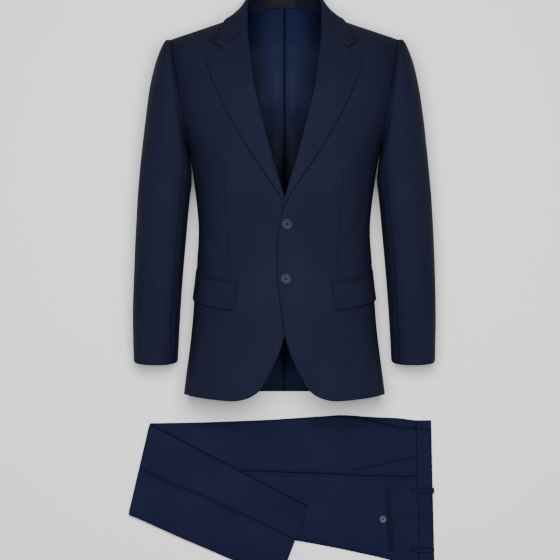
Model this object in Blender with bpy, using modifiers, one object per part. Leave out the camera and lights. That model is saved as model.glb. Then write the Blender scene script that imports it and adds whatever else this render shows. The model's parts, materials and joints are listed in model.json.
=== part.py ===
"""Two-piece suit, laid out on a flat surface.

The jacket lies on its back, buttoned and filled out, hollow from neck to hem and from
armhole to cuff.  The trousers lie on their side below it, with the lower legs folded over.
Sizes are in millimetres; MM turns them into metres.

Each garment's pieces are modelled about their own empty, which carries the garment's place.
Jacket places are given as (x, drop): x out from the centre line towards a sleeve, drop down
from the neck end of the shoulder seam.  Trouser places are (along, up): along from the
waist towards the hems, up from the front end of the waist.  Heights are over the surface.
"""
import math
from collections import namedtuple

import bmesh
import bpy
from mathutils import Vector

MM = 0.001

# ---------------------------------------------------------------- driving dimensions
JACKET_PLACE = (5.6, 521.9)          # centre line and shoulder-neck level, in the part's frame
TROUSERS_PLACE = (295.6, -259.1)     # front end of the waist, in the part's frame

Finish = namedtuple("Finish", "color roughness metallic")
SUITING = Finish((0.012, 0.017, 0.040), 0.80, 0.0)
SATIN = Finish((0.010, 0.020, 0.055), 0.35, 0.0)
HORN = Finish((0.030, 0.040, 0.070), 0.25, 0.0)
WOVEN = Finish((0.006, 0.007, 0.010), 0.60, 0.0)
TROUSER_CLOTH = Finish((0.010, 0.015, 0.042), 0.80, 0.0)
PALE_HORN = Finish((0.110, 0.130, 0.200), 0.30, 0.0)

WALL = 1.5             # suiting with its interlining
LINING_WALL = 1.0
SEAM_GAP = 0.3         # between pieces that are sewn to each other
SHOULDER_GAP = 0.9     # the same at the shoulder seams, where both walls turn inward
LAY_GAP = 0.6          # under a piece that lies on a curved panel

NECK_HALF = 86.5       # centre line to the neck end of the shoulder seam
SHOULDER_SLOPE = 1 / 3
SHOULDER_POINT = 219.0   # centre line to the sleeve end of the shoulder seam
ARMHOLE_LEAN = 0.163   # the armhole comes in by this much for each millimetre down
ARMHOLE_TOP = (SHOULDER_POINT - NECK_HALF) * SHOULDER_SLOPE
ARMHOLE_MIDDLE = 150.0
ARMHOLE_BOTTOM = 256.0
ARMHOLE_FRONT = 0.50   # height of the armhole's front edge, as a share of the chest's
SIDE_HEIGHT = 86.0     # height of the side line over the surface
FRONT_ROUND = 160.0    # how far down the front the shoulder rounds over
BACK_ROUND = 95.0
FRONT_POWER = 2.4      # how square the sections are, in front and behind
BACK_POWER = 5.0
REST_FLAT = 1.0        # what the surface flattens off the back and the sleeves
BACK_NECK_RISE = 23.0
BACK_NECK_HEIGHT = 33.0
SEAM_SHARE = 0.0160    # what a side seam takes off the shares below
SIDE_SEAM = 0.42       # height of the front-to-side seam, as a share of the front's
BACK_SEAM = 0.74       # how deep the side-to-back seam lies, as a share of the side's height
FRONT_HEM = 733.0
BACK_HEM = 722.0

# how finely the panels are divided
FRONT_COLUMNS, FRONT_ROUND_ROWS, FRONT_FLAT_ROWS = 11, 5, 17
BACK_COLUMNS, BACK_ROUND_ROWS, BACK_FLAT_ROWS = 9, 4, 11
NECK_COLUMNS, LINING_COLUMNS = 4, 6      # those of the back's that end at its neckline
SIDE_COLUMNS, SIDE_ROWS = 8, 14
SLEEVE_TOP_COLUMNS, SLEEVE_UNDER_COLUMNS = 12, 8
COLLAR_COLUMNS, LAPEL_ROWS = 22, 14
FLAP_ROWS, JETTING_COLUMNS = 4, 9
SETTLING = 12          # rounds in which a point settles between two sloping edges

Section = namedtuple("Section", "drop half_width")
BODY_SIDES = [
    Section(256, 185.4), Section(285, 178.5), Section(329, 172.0), Section(375, 166.5),
    Section(406, 164.4), Section(452, 166.3), Section(498, 169.2), Section(545, 173.0),
    Section(590, 176.5), Section(637, 181.7), Section(683, 188.0), Section(722, 193.0),
]

Depth = namedtuple("Depth", "drop height")
BODY_DEPTHS = [
    Depth(-60, 160), Depth(0, 172), Depth(60, 190), Depth(120, 203), Depth(200, 214),
    Depth(270, 217), Depth(340, 211), Depth(400, 203), Depth(460, 199), Depth(540, 200),
    Depth(620, 203), Depth(733, 206),
]

# where each front ends towards the centre: lapel roll line, lap over the buttons, cutaway
Edge = namedtuple("Edge", "drop x")
FRONT_EDGE = [
    Edge(0, 85.0), Edge(21, 74.0), Edge(50, 70.0), Edge(80, 67.0), Edge(144, 58.0),
    Edge(202, 44.0), Edge(275, 25.0), Edge(342, 5.0), Edge(387, -7.0), Edge(433, -14.0),
    Edge(482, -15.5),
    Edge(528, -12.0), Edge(570, -6.0), Edge(612, 0.0), Edge(646, 11.0), Edge(689, 32.0),
    Edge(714, 48.0),
]
HemPoint = namedtuple("HemPoint", "x drop")
FRONT_HEMLINE = [
    HemPoint(-20, 660), HemPoint(48, 714), HemPoint(66, 727), HemPoint(95, 733),
    HemPoint(135, 730), HemPoint(170, 725), HemPoint(193, 722),
]
LAP_LIFT = 2.4         # the left front lies this much higher where it laps the right one
LAP_FADE = (25.0, 75.0)      # across the front, where the lift starts to fade and is gone
LAP_START = (300.0, 372.0)   # down the front, where it begins and is full

LAPEL_EDGE = [
    Edge(97, 148.0), Edge(141, 131.0), Edge(196, 105.5), Edge(258, 70.0), Edge(310, 35.5),
    Edge(345, 14.5), Edge(352, 10.5),
]
LAPEL_TOP = 34.0             # drop at which the gorge seam meets the roll line
LAPEL_END = 349.0
LAPEL_ROLL = 2.6             # radius of the roll
LAPEL_CLEAR = 1.3            # from the front's edge to the lapel's middle layer beside it
LAPEL_REST = 1.7             # height of the lapel's middle layer over the chest
LAPEL_SPRING = 2.4           # how much more it stands off the chest halfway across
LAPEL_ROLL_EASE = 60.0       # length over its lower end in which the roll opens
LAPEL_SPRING_EASE = 120.0    # and the spring
LAPEL_TO_CHEST = 0.6         # share of its width in which it comes down from the roll
LAPEL_ROLL_TURNS = (-25, 15, 55, 90)                 # places round the roll, in degrees
LAPEL_SHARES = (0.1, 0.3, 0.5, 0.72, 1.0)            # and across the lapel

# One row for each section of the collar, from the centre back to the gorge
Neck = namedtuple("Neck", "fold_x fold_drop fold_z edge_x edge_drop edge_z "
                          "stand_x stand_drop stand_z")
COLLAR = [
    Neck(0, -53, 44, 0, -11, 18, 0, -26, 35),
    Neck(28, -52, 46, 32, -10, 19, 31, -25, 37),
    Neck(52, -46, 57, 62, -8, 25, 57, -20, 50),
    Neck(67, -36, 76, 88, -3, 52, 75, -12, 72),
    Neck(71.5, -20, 95, 104, 1, 92, 81, -4, 93),
    Neck(72, 2, 117, 119, 18, 126, 76, 6, 110),
    Neck(70.5, 31, 143, 136.5, 57, 160, 69, 32, 130),
]
COLLAR_WALL = 1.8
COLLAR_ROLL = 2.3              # radius of the fold between stand and leaf
COLLAR_ROLL_TURNS = (60, 120)  # where its points lie round the fold, in degrees
COLLAR_SPRING = 2.5            # how much the leaf bulges between fold and edge
COLLAR_OFF_SHOULDER = 2.4      # the leaf stands this much higher before it comes to the lapel
COLLAR_ON_CHEST = (3.4, 5.0)   # rows of the table between which the leaf comes to the chest
COLLAR_TO_CHEST = 0.4          # share of the leaf's width in which it comes down to there
NOTCH_SHARE = 0.70           # share of the leaf's front end that is sewn to the lapel
LEAF_SHARES = (0.0, 0.25, 0.5, NOTCH_SHARE, 1.0)     # places across the leaf
NOTCH_DIP = 19.0             # how far that corner lies below the end's straight line

# One row for each ring of a sleeve, from the armhole to the cuff: the outermost and the
# innermost point of the ring, and the heights between which it lies
Ring = namedtuple("Ring", "outer_x outer_drop inner_x inner_drop low high")
SLEEVE = [
    Ring(219.0, 44.2, 185.4, 256, 16, 147),
    Ring(228.5, 48, 184.3, 263, 11, 152),
    Ring(239.0, 66, 181.0, 281, 6, 156),
    Ring(250.0, 98, 178.5, 301, 2, 157),
    Ring(259.5, 142, 178.5, 322, -1, 155),
    Ring(267.0, 196, 181.5, 348, -1.5, 151),
    Ring(274.5, 262, 185.5, 390, -1.5, 145),
    Ring(281.5, 334, 190.0, 436, -1.5, 139),
    Ring(286.5, 412, 194.5, 484, -1.5, 132),
    Ring(290.0, 494, 199.0, 538, -1.5, 123),
    Ring(292.5, 578, 203.0, 600, -1.5, 112),
    Ring(291.5, 663, 206.5, 664, -1.5, 100),
]
SLEEVE_POWER = 2.25
SLEEVE_CLEAR = 0.6           # between the sleeve's head and the armhole
SLEEVE_SEAM = 0.0030         # share of a ring that a sleeve seam takes
CUFF_DIP = 6.0               # the cuff is this much longer in front than at its two sides
CUFF_DIP_POWER = 6           # and how late down the sleeve that comes in
SLEEVE_SEAM_FRONT = 0.13     # places of the two sleeve seams, as shares of the ring
SLEEVE_SEAM_BACK = 0.72

FLAP_FRONT_X, FLAP_FRONT_DROP = 89.0, 513.0   # the flap's front upper corner
FLAP_SIDE_DROP = 491.0
FLAP_REACH = 0.985           # share of the way round to the side line
FLAP_DEPTH = 51.0
FLAP_CORNER = 13.0
FLAP_STAND = 1.8             # how far the flap's lower edge stands off the front
FLAP_LENGTH = 142.0          # of its upper edge, measured round the body
FLAP_COLUMNS = [0.0, 0.02, 0.05, 0.09, 0.2, 0.36, 0.52, 0.68, 0.84, 1.0]
JETTING_WIDTH = 5.0
JETTING_WALL = 1.2
JETTING_REACH = 4.0          # how far the jetting runs on past the flap's front

WELT_WIDTH = 47.0            # what shows of the breast welt beside the lapel
WELT_TOP = 187.0             # drop of its upper corner at the lapel
WELT_RISE = 13.0
WELT_DEPTH = 22.0
WELT_FROM_LAPEL = 3.0

BUTTON_PLACES = {"upper": (4.6, 401.6), "lower": (2.4, 504.0)}
BUTTON_RADIUS = 10.4
ButtonRing = namedtuple("ButtonRing", "radius height")   # shares of the button's radius
BUTTON_PROFILE = [
    ButtonRing(0.0, 0.30), ButtonRing(0.55, 0.30), ButtonRing(0.72, 0.38),
    ButtonRing(0.90, 0.38), ButtonRing(1.0, 0.24), ButtonRing(0.94, 0.08),
    ButtonRing(0.45, 0.0), ButtonRing(0.0, 0.0),
]
BUTTON_SIDES = 20
BUTTON_LIFT = 0.5
LABEL_WIDTH, LABEL_SHIFT = 58.0, -9.0
LABEL_SPAN = (0.20, 0.95)    # from the collar's fold to the foot of its stand
LABEL_FACING = Vector((0.0, -0.35, 0.94))
LABEL_WALL = 0.5

LINING_GAP = 0.7
LINING_HEM = 698.0
HEM_FACING_TOP, HEM_FACING_WIDTH = 701.5, 130.0

# ---------------------------------------------------------------- trousers
CLOTH = 1.2                  # trouser cloth, felled and pressed
STACK = 7.0                  # height of the flat trousers
CORE_LOW, CORE_HIGH = 1.6, 5.4   # the inner layers, between the two outer ones
CORE_EDGE_HIGH = 3.3         # their upper face along the creases
CORE_INSET = 2.5             # how far inside the creases they end
CORE_NOTCH = 1.7             # depth of the groove between the two legs, along their edge
CORE_SHOULDER = (1.0, 0.4)   # how far its corners are cut back, across and up
CORE_START, CORE_STEP, CORE_END = 6.0, 4.0, 1.5   # clear of the waist, band seam and hem
FOLD_CENTRE = STACK + 0.4    # height of the line about which the legs are folded
FOLD_RADIUS = 3.7            # radius at which the folded length is measured
FOLD_FRONT, FOLD_BACK = 547.0, 589.0   # where the fold begins, along each crease
EDGE_SOFT = 10.0             # the pressed edges thin out over this width
EDGE_FALL = 2.2              # and by this much
SAG_START, SAG_END = 0.0, 75.0   # past the back crease the folded legs come down to rest
SAG_FALL = 7.3

Crease = namedtuple("Crease", "along up")
FRONT_CREASE = [
    Crease(-10, 0), Crease(35, 0), Crease(67, 4), Crease(114, 6), Crease(177, 10),
    Crease(208, 8), Crease(271, 4), Crease(335, 0), Crease(440, -4), Crease(550, -6),
    Crease(930, -13.5),
]
NEAR_FRONT_CREASE = [
    Crease(-10, -16), Crease(45, -16), Crease(66, -14), Crease(92, -8), Crease(140, 3),
    Crease(190, 8), Crease(240, 5), Crease(335, -1), Crease(440, -5), Crease(550, -7),
    Crease(930, -14.5),
]
BACK_CREASE = [
    Crease(-10, -323), Crease(10, -311), Crease(43, -292), Crease(82, -275),
    Crease(145, -260), Crease(208, -247), Crease(300, -231), Crease(400, -215),
    Crease(500, -199), Crease(596, -185), Crease(700, -180), Crease(930, -169),
]
OutSeam = namedtuple("OutSeam", "along share")
OUTSEAM = [
    OutSeam(0, 0.29), OutSeam(80, 0.37), OutSeam(160, 0.435), OutSeam(350, 0.45),
    OutSeam(580, 0.50), OutSeam(700, 0.46), OutSeam(900, 0.45),
]
Station = namedtuple("Station", "front back")
WAIST = Station(2.0, -5.0)
WAIST_SEAM = Station(31.5, 24.0)
HEM = Station(900.0, 918.0)
UPPER_STEPS, FOLD_STEPS, LOWER_STEPS = 12, 7, 9
FRONT_BAYS, BACK_BAYS = 3, 4     # columns of a leg's front and back, inside their soft edges

BAND_WALL = 2.2
BAND_RISE = 0.4              # the waistband stands this much above the legs
BAND_CORE = (2.6, 3.3)       # heights of the inner layers within the waistband
TURN_REACH = 42.0            # how far the right waistband's front end is turned in
TURN_INSET = 0.6             # from the crease
TURN_HEIGHT = 3.6
LOOP_START, LOOP_END = -3.5, 40.0
LOOP_EASE = 12.0             # length below the waistband in which a loop comes down to the leg
LOOP_WIDTH, LOOP_WALL = 10.0, 1.2
LOOP_PLACES = {"side": -137.5, "back": -254.5}
BACK_POCKET = ((87.5, -134.0), (80.5, -255.0))   # middle of the pocket's mouth
BACK_WELT_WIDTH = 4.3
SLANT_POCKET = ((157.0, -97.0), (33.5, -71.5))   # the front pocket's mouth
SLANT_WIDTH = 6.0
TRIM_WALL = 1.0
TROUSER_BUTTON_PLACE = (96.8, -194.0)
TROUSER_BUTTON_RADIUS = 7.0


# ---------------------------------------------------------------- small mathematics
def smooth(share):
    """Go from 0 to 1 without a corner at either end."""
    share = min(1.0, max(0.0, share))
    return share * share * (3 - 2 * share)


def mix(start, end, share):
    return start + (end - start) * share


def read(table, column, at):
    """Value of a column where the table's first column is at, on a smooth curve."""
    keys = [row[0] for row in table]
    values = [getattr(row, column) for row in table]
    return spline(keys, values, at)


def spline(keys, values, at):
    last = len(keys) - 1
    at = min(keys[last], max(keys[0], at))
    index = 0
    while index < last - 1 and at > keys[index + 1]:
        index += 1
    span = keys[index + 1] - keys[index]

    def slope(place):
        before, after = max(0, place - 1), min(last, place + 1)
        return (values[after] - values[before]) / (keys[after] - keys[before])

    share = (at - keys[index]) / span
    square, cube = share ** 2, share ** 3
    return ((2 * cube - 3 * square + 1) * values[index]
            + (cube - 2 * square + share) * span * slope(index)
            + (3 * square - 2 * cube) * values[index + 1]
            + (cube - square) * span * slope(index + 1))


def rounding(share):
    """Quarter circle: steep at 0, level at 1."""
    share = min(1.0, max(0.0, share))
    return math.sqrt(1 - (1 - share) ** 2)


def root_of(share, power):
    return max(0.0, 1 - abs(share) ** power) ** (1 / power)


# ---------------------------------------------------------------- the jacket's form
def shoulder_drop(x):
    return (abs(x) - NECK_HALF) * SHOULDER_SLOPE


def armhole_x(drop):
    return SHOULDER_POINT - ARMHOLE_LEAN * (drop - ARMHOLE_TOP)


def armhole_share(drop):
    """How high the armhole's front edge is, as a share of the front's height."""
    if drop <= ARMHOLE_MIDDLE:
        return ARMHOLE_FRONT
    reach = (drop - ARMHOLE_MIDDLE) / (ARMHOLE_BOTTOM - ARMHOLE_MIDDLE)
    return ARMHOLE_FRONT * root_of(min(1.0, reach), 2)


def half_width(drop):
    if drop >= ARMHOLE_BOTTOM:
        return read(BODY_SIDES, "half_width", drop)
    return armhole_x(drop) / root_of(armhole_share(drop), FRONT_POWER)


def front_height(x, drop):
    level = root_of(x / half_width(drop), FRONT_POWER)
    over = rounding((drop - shoulder_drop(x)) / FRONT_ROUND)
    return SIDE_HEIGHT + (read(BODY_DEPTHS, "height", drop) - SIDE_HEIGHT) * level * over


def neck_arc(x):
    return root_of(min(1.0, abs(x) / NECK_HALF), 2)


def back_top(x):
    """Drop of the back's upper edge: neckline, then shoulder seam."""
    if abs(x) < NECK_HALF:
        return -BACK_NECK_RISE * neck_arc(x)
    return shoulder_drop(x)


def back_height(x, drop):
    top = mix(SIDE_HEIGHT, BACK_NECK_HEIGHT, neck_arc(x))
    share = min(1.0, max(0.0, (drop - back_top(x)) / BACK_ROUND))
    over = mix(rounding(share), 1 - (1 - share) ** 2, neck_arc(x))
    level = root_of(x / half_width(drop), BACK_POWER)
    height = top * (1 - over * level)
    return max(0.0, height - REST_FLAT * (1 - height / SIDE_HEIGHT))


def jacket_point(side, x, drop, height):
    return Vector((side * x, -drop, height))


def lap_lift(side, x, drop):
    """The wearer's left front is the upper one where the two fronts lap."""
    if side < 0:
        return 0.0
    across = 1 - smooth((x - LAP_FADE[0]) / (LAP_FADE[1] - LAP_FADE[0]))
    down = smooth((drop - LAP_START[0]) / (LAP_START[1] - LAP_START[0]))
    return LAP_LIFT * across * down


def chest(side, x, drop, lift=0.0):
    """A point over the outer face of a front, lift above it along its normal."""
    def at(away, down):
        height = front_height(away, down) + lap_lift(side, away, down)
        return jacket_point(side, away, down, height)
    place = at(x, drop)
    if not lift:
        return place
    step = 0.5
    out = at(x + step, drop) - at(x - step, drop)
    down = at(x, drop + step) - at(x, drop - step)
    normal = out.cross(down) if side < 0 else down.cross(out)
    return place + normal.normalized() * lift


def front_x(share, drop):
    """x on the front where its section has been followed for this share of a quarter."""
    turn = share * math.pi / 2
    return math.copysign(abs(math.sin(turn)) ** (2 / FRONT_POWER) * half_width(drop), turn)


def front_share(x, drop):
    reach = min(1.0, abs(x) / half_width(drop))
    return math.copysign(math.asin(reach ** (FRONT_POWER / 2)) / (math.pi / 2), x)


SIDE_SEAM_SHARE = math.acos(SIDE_SEAM ** (FRONT_POWER / 2)) / (math.pi / 2)


def armhole_drop(share):
    """Drop of the armhole's lower half where its edge has this share of the full height."""
    return mix(ARMHOLE_MIDDLE, ARMHOLE_BOTTOM, root_of(min(1.0, share), 2))


SIDE_SEAM_TOP = armhole_drop(SIDE_SEAM / ARMHOLE_FRONT)


# ---------------------------------------------------------------- making solids
def dress(name, finish):
    """A material of the piece's own."""
    material = bpy.data.materials.new(name)
    material.use_nodes = True
    shader = material.node_tree.nodes["Principled BSDF"]
    shader.inputs["Base Color"].default_value = (*finish.color, 1.0)
    shader.inputs["Roughness"].default_value = finish.roughness
    shader.inputs["Metallic"].default_value = finish.metallic
    return material


def add_object(name, mesh_data, finish, garment):
    """Turn a bmesh in millimetres into a named object in metres, carried by its garment."""
    bmesh.ops.scale(mesh_data, vec=(MM, MM, MM), verts=mesh_data.verts)
    mesh = bpy.data.meshes.new(name)
    mesh_data.to_mesh(mesh)
    mesh_data.free()
    mesh.shade_smooth()
    mesh.materials.append(dress(name, finish))
    thing = bpy.data.objects.new(name, mesh)
    thing.parent = garment
    garment.users_collection[0].objects.link(thing)
    return thing


def add_sheet(name, columns, rows, place, wall, finish, garment, side=1, outward=False):
    """A cloth panel: an open grid put in place point by point, given its wall by Solidify.

    place(across, down) takes shares from 0 to 1.  The wall grows inward from the placed
    points, or outward for a piece that lies on another.
    """
    grid = bmesh.new()
    bmesh.ops.create_grid(grid, x_segments=columns, y_segments=rows, size=0.5)
    for vert in grid.verts:
        across, down = vert.co.x + 0.5, 0.5 - vert.co.y
        vert.co = place(across, down)
    if side < 0:
        bmesh.ops.reverse_faces(grid, faces=grid.faces)
    thing = add_object(name, grid, finish, garment)
    shell = thing.modifiers.new("wall", "SOLIDIFY")
    shell.thickness = wall * MM
    shell.offset = 1.0 if outward else -1.0
    return thing


def add_middle_sheet(name, columns, rows, place, wall, finish, garment, side=1):
    """A panel whose wall grows to both sides of the placed points."""
    thing = add_sheet(name, columns, rows, place, wall, finish, garment, side)
    thing.modifiers["wall"].offset = 0.0
    return thing


def eased_rows(total, rounded, rounded_rows, rows):
    """Shares of a length, close together over its first, rounded, stretch."""
    first = [rounded * (1 - math.cos(math.pi / 2 * i / rounded_rows)) / total
             for i in range(rounded_rows)]
    rest = [mix(rounded / total, 1.0, i / rows) for i in range(rows + 1)]
    return first + rest


def pick(entries, share):
    """The entry of a list that a grid line at an even share stands for."""
    return entries[round(share * (len(entries) - 1))]


# ---------------------------------------------------------------- jacket panels
FRONT_ROWS = eased_rows(FRONT_HEM, FRONT_ROUND, FRONT_ROUND_ROWS, FRONT_FLAT_ROWS)
BACK_ROWS = eased_rows(BACK_HEM, BACK_ROUND, BACK_ROUND_ROWS, BACK_FLAT_ROWS)


def make_front(side, name, finish, garment):
    def outer_x(drop):
        if drop < SIDE_SEAM_TOP:
            return armhole_x(drop) - SEAM_GAP
        return front_x(SIDE_SEAM_SHARE, drop)

    def place(across, down):
        drop = FRONT_HEM * pick(FRONT_ROWS, down)
        x = 0.0
        for _ in range(SETTLING):
            inner = front_share(read(FRONT_EDGE, "x", drop), drop)
            outer = front_share(outer_x(drop), drop)
            x = front_x(mix(inner, outer, across), drop)
            top = shoulder_drop(x)
            drop = mix(top, read(FRONT_HEMLINE, "drop", x), pick(FRONT_ROWS, down))
        point = chest(side, x, drop)
        point.z = max(point.z, SIDE_HEIGHT + SHOULDER_GAP / 2)
        return point

    return add_sheet(name, FRONT_COLUMNS, len(FRONT_ROWS) - 1, place, WALL, finish, garment,
                     side)


def make_side(side, name, finish, garment):
    """The side body, from the front's seam round under the arm to the back's."""
    def place(across, down):
        if across < 0.5:
            share = (SIDE_SEAM - SEAM_SHARE) * (1 - across / 0.5)
            turn = math.acos(share ** (FRONT_POWER / 2))
            level, reach = share, math.sin(turn) ** (2 / FRONT_POWER)
            top = armhole_drop(share / ARMHOLE_FRONT)
        else:
            share = (BACK_SEAM - SEAM_SHARE) * (across - 0.5) / 0.5
            level, reach = share, root_of(share, BACK_POWER)
            inside = root_of(reach, FRONT_POWER)
            top = armhole_drop(inside / ARMHOLE_FRONT)
        drop = mix(top + SEAM_GAP, BACK_HEM, down)
        x = half_width(drop) * reach
        if across < 0.5:
            height = mix(SIDE_HEIGHT, read(BODY_DEPTHS, "height", drop), level)
        else:
            height = back_height(x, drop)
        return jacket_point(side, x, drop, height)

    return add_sheet(name, SIDE_COLUMNS, SIDE_ROWS, place, WALL, finish, garment, side)


def back_place(column, share):
    """x and drop of a point of the back, at a column and a share of the way down."""
    seam_reach = root_of(BACK_SEAM, BACK_POWER)
    seam_top = armhole_drop(root_of(seam_reach, FRONT_POWER) / ARMHOLE_FRONT)
    x, drop = 0.0, BACK_HEM * share
    for _ in range(SETTLING):
        if drop < seam_top:
            outer = armhole_x(drop) - SEAM_GAP
        else:
            outer = half_width(drop) * seam_reach
        if column <= NECK_COLUMNS:
            x = max(NECK_HALF * math.sin(math.pi / 2 * column / NECK_COLUMNS), SEAM_GAP)
        else:
            x = mix(NECK_HALF, outer, (column - NECK_COLUMNS) / (BACK_COLUMNS - NECK_COLUMNS))
        drop = mix(back_top(x), BACK_HEM, share)
    return x, drop


def make_back(side, name, finish, garment):
    def place(across, down):
        x, drop = back_place(round(across * BACK_COLUMNS), pick(BACK_ROWS, down))
        height = min(back_height(x, drop), SIDE_HEIGHT - SHOULDER_GAP / 2)
        return jacket_point(side, x, drop, height)

    return add_sheet(name, BACK_COLUMNS, len(BACK_ROWS) - 1, place, WALL, finish, garment,
                     -side)


def inside_back(side, x, drop, lift):
    """A point inside the back, lift above its outer face along the normal."""
    step = 1.0
    height = back_height(x, drop)
    rise_out = (back_height(x + step, drop) - height) / step
    rise_down = (back_height(x, drop + step) - height) / step
    inward = Vector((-rise_out * side, rise_down, 1.0)).normalized()
    return jacket_point(side, x, drop, height) + inward * lift


def make_lining(side, name, finish, garment):
    rows = BACK_ROWS[1:-1] + [LINING_HEM / BACK_HEM]

    def place(across, down):
        x, drop = back_place(round(across * LINING_COLUMNS), pick(rows, down))
        return inside_back(side, x, drop, WALL + LINING_GAP)

    return add_sheet(name, LINING_COLUMNS, len(rows) - 1, place, LINING_WALL, finish,
                     garment, side, outward=True)


def make_hem_facing(side, name, finish, garment):
    """The back's own hem, turned up inside below the lining."""
    def place(across, down):
        x = max(HEM_FACING_WIDTH * across, SEAM_GAP)
        return inside_back(side, x, mix(HEM_FACING_TOP, BACK_HEM, down), WALL + SEAM_GAP)

    return add_sheet(name, 4, 1, place, LINING_WALL, finish, garment, side, outward=True)


def sleeve_point(side, ring, turn):
    """A point of the sleeve's outer face; turn goes from under the arm over the front."""
    angle = 2 * math.pi * turn
    reach, lift = -math.cos(angle), math.sin(angle)
    if ring > 0:
        power = 2 / SLEEVE_POWER
        reach = math.copysign(abs(reach) ** power, reach)
        lift = math.copysign(abs(lift) ** power, lift)
    fields = {column: spline(list(range(len(SLEEVE))), [getattr(row, column) for row in SLEEVE],
                             ring) for column in Ring._fields}
    share = (reach + 1) / 2
    x = mix(fields["inner_x"], fields["outer_x"], share)
    drop = mix(fields["inner_drop"], fields["outer_drop"], share)
    if ring > 0:
        height = mix(fields["low"], fields["high"], (lift + 1) / 2)
        drop += CUFF_DIP * max(0.0, lift) * (ring / (len(SLEEVE) - 1)) ** CUFF_DIP_POWER
    elif lift > 0:
        height = front_height(armhole_x(drop), drop)
    else:
        height = back_height(armhole_x(drop), drop)
    return jacket_point(side, x + SLEEVE_CLEAR, drop, max(0.0, height))


def make_sleeve(side, name, start, end, columns, finish, garment):
    """One of a sleeve's two pieces, between two places round its rings."""
    rings = len(SLEEVE) - 1

    def place(across, down):
        return sleeve_point(side, rings * down, mix(start, end, across))

    return add_sheet(name, columns, rings, place, WALL, finish, garment, side)


def collar_profile(side, row):
    """Middle layer of the collar at a row of its table: stand, roll, leaf."""
    places = list(range(len(COLLAR)))
    neck = {column: spline(places, [getattr(line, column) for line in COLLAR], row)
            for column in Neck._fields}

    def corner(kind):
        return Vector((neck[kind + "_x"], -neck[kind + "_drop"], neck[kind + "_z"]))

    fold, edge, stand = corner("fold"), corner("edge"), corner("stand")
    up = -((edge - fold).normalized() + (stand - fold).normalized()).normalized()
    out = edge - fold
    out = (out - up * out.dot(up)).normalized()
    points = [stand, stand.lerp(fold, 0.5), fold]
    for turn in COLLAR_ROLL_TURNS:
        angle = math.radians(turn)
        points.append(fold + out * COLLAR_ROLL * (1 - math.cos(angle))
                      + up * COLLAR_ROLL * math.sin(angle))
    leaf = fold + out * 2 * COLLAR_ROLL
    front_end = smooth(row - len(COLLAR) + 2) ** 2
    on_chest = smooth((row - COLLAR_ON_CHEST[0]) / (COLLAR_ON_CHEST[1] - COLLAR_ON_CHEST[0]))
    for share in LEAF_SHARES:
        point = leaf.lerp(edge, share)
        if share <= NOTCH_SHARE:
            dip = share / NOTCH_SHARE
        else:
            dip = (1 - share) / (1 - NOTCH_SHARE)
        point.y -= NOTCH_DIP * dip * front_end
        point += (out + up) * COLLAR_SPRING * share * (1 - share) * 2
        rest = front_height(point.x, -point.y) + LAY_GAP + COLLAR_WALL
        rest += COLLAR_OFF_SHOULDER * (1 - front_end)
        point.z = mix(point.z, rest, on_chest * smooth(share / COLLAR_TO_CHEST))
        points.append(point)
    return [Vector((side * point.x, point.y, point.z)) for point in points]


def make_collar(finish, garment):
    rows = len(COLLAR) - 1
    profiles = []
    for column in range(COLLAR_COLUMNS + 1):
        share = 2 * column / COLLAR_COLUMNS - 1
        profiles.append(collar_profile(math.copysign(1, share), rows * abs(share)))

    def place(across, down):
        return pick(pick(profiles, across), down)

    return add_middle_sheet("jacket_collar", COLLAR_COLUMNS, len(profiles[0]) - 1, place,
                            COLLAR_WALL, finish, garment)


def make_lapel(side, name, finish, garment):
    rolled = len(LAPEL_ROLL_TURNS)
    columns = rolled + len(LAPEL_SHARES) - 1

    def place(across, down):
        drop = mix(LAPEL_TOP, LAPEL_END, down)
        outer_drop = mix(LAPEL_EDGE[0].drop, LAPEL_EDGE[-1].drop, down)
        inner_x = read(FRONT_EDGE, "x", drop)
        outer_x = read(LAPEL_EDGE, "x", outer_drop)
        column = round(across * columns)
        height = mix(LAPEL_REST, LAPEL_ROLL, smooth((LAPEL_END - drop) / LAPEL_ROLL_EASE))
        if column >= rolled:
            share = LAPEL_SHARES[column - rolled]
            spring = LAPEL_SPRING * smooth((LAPEL_END - drop) / LAPEL_SPRING_EASE)
            lift = mix(height, LAPEL_REST, smooth(share / LAPEL_TO_CHEST))
            lift += spring * 4 * share * (1 - share)
            return chest(side, mix(inner_x, outer_x, share), mix(drop, outer_drop, share), lift)
        base = chest(side, inner_x, drop)
        normal = chest(side, inner_x, drop, 1.0) - base
        below = drop + 2
        along = (chest(side, read(FRONT_EDGE, "x", below), below) - base).normalized()
        away = normal.cross(along) * side
        if away.x * side > 0:
            away = -away
        turn = math.radians(LAPEL_ROLL_TURNS[column])
        sideways = LAPEL_CLEAR + height * (math.cos(turn) - 1)
        return base + away * sideways + normal * height * math.sin(turn)

    return add_middle_sheet(name, columns, LAPEL_ROWS, place, WALL, finish, garment, side)


def flap_line(share):
    """Where the flap's upper edge runs: its place round the section, and its drop."""
    inner = front_share(FLAP_FRONT_X, FLAP_FRONT_DROP)
    return mix(inner, FLAP_REACH, share), mix(FLAP_FRONT_DROP, FLAP_SIDE_DROP, share)


def make_flap(side, name, finish, garment):
    def place(across, down):
        share = pick(FLAP_COLUMNS, across)
        round_share, top = flap_line(share)
        from_corner = max(0.0, FLAP_CORNER - share * FLAP_LENGTH)
        cut = FLAP_CORNER - math.sqrt(FLAP_CORNER ** 2 - from_corner ** 2)
        drop = top + (FLAP_DEPTH - cut) * down
        lift = LAY_GAP + FLAP_STAND * down ** 2
        return chest(side, front_x(round_share, drop), drop, lift)

    return add_sheet(name, len(FLAP_COLUMNS) - 1, FLAP_ROWS, place, WALL, finish, garment,
                     side, outward=True)


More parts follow.
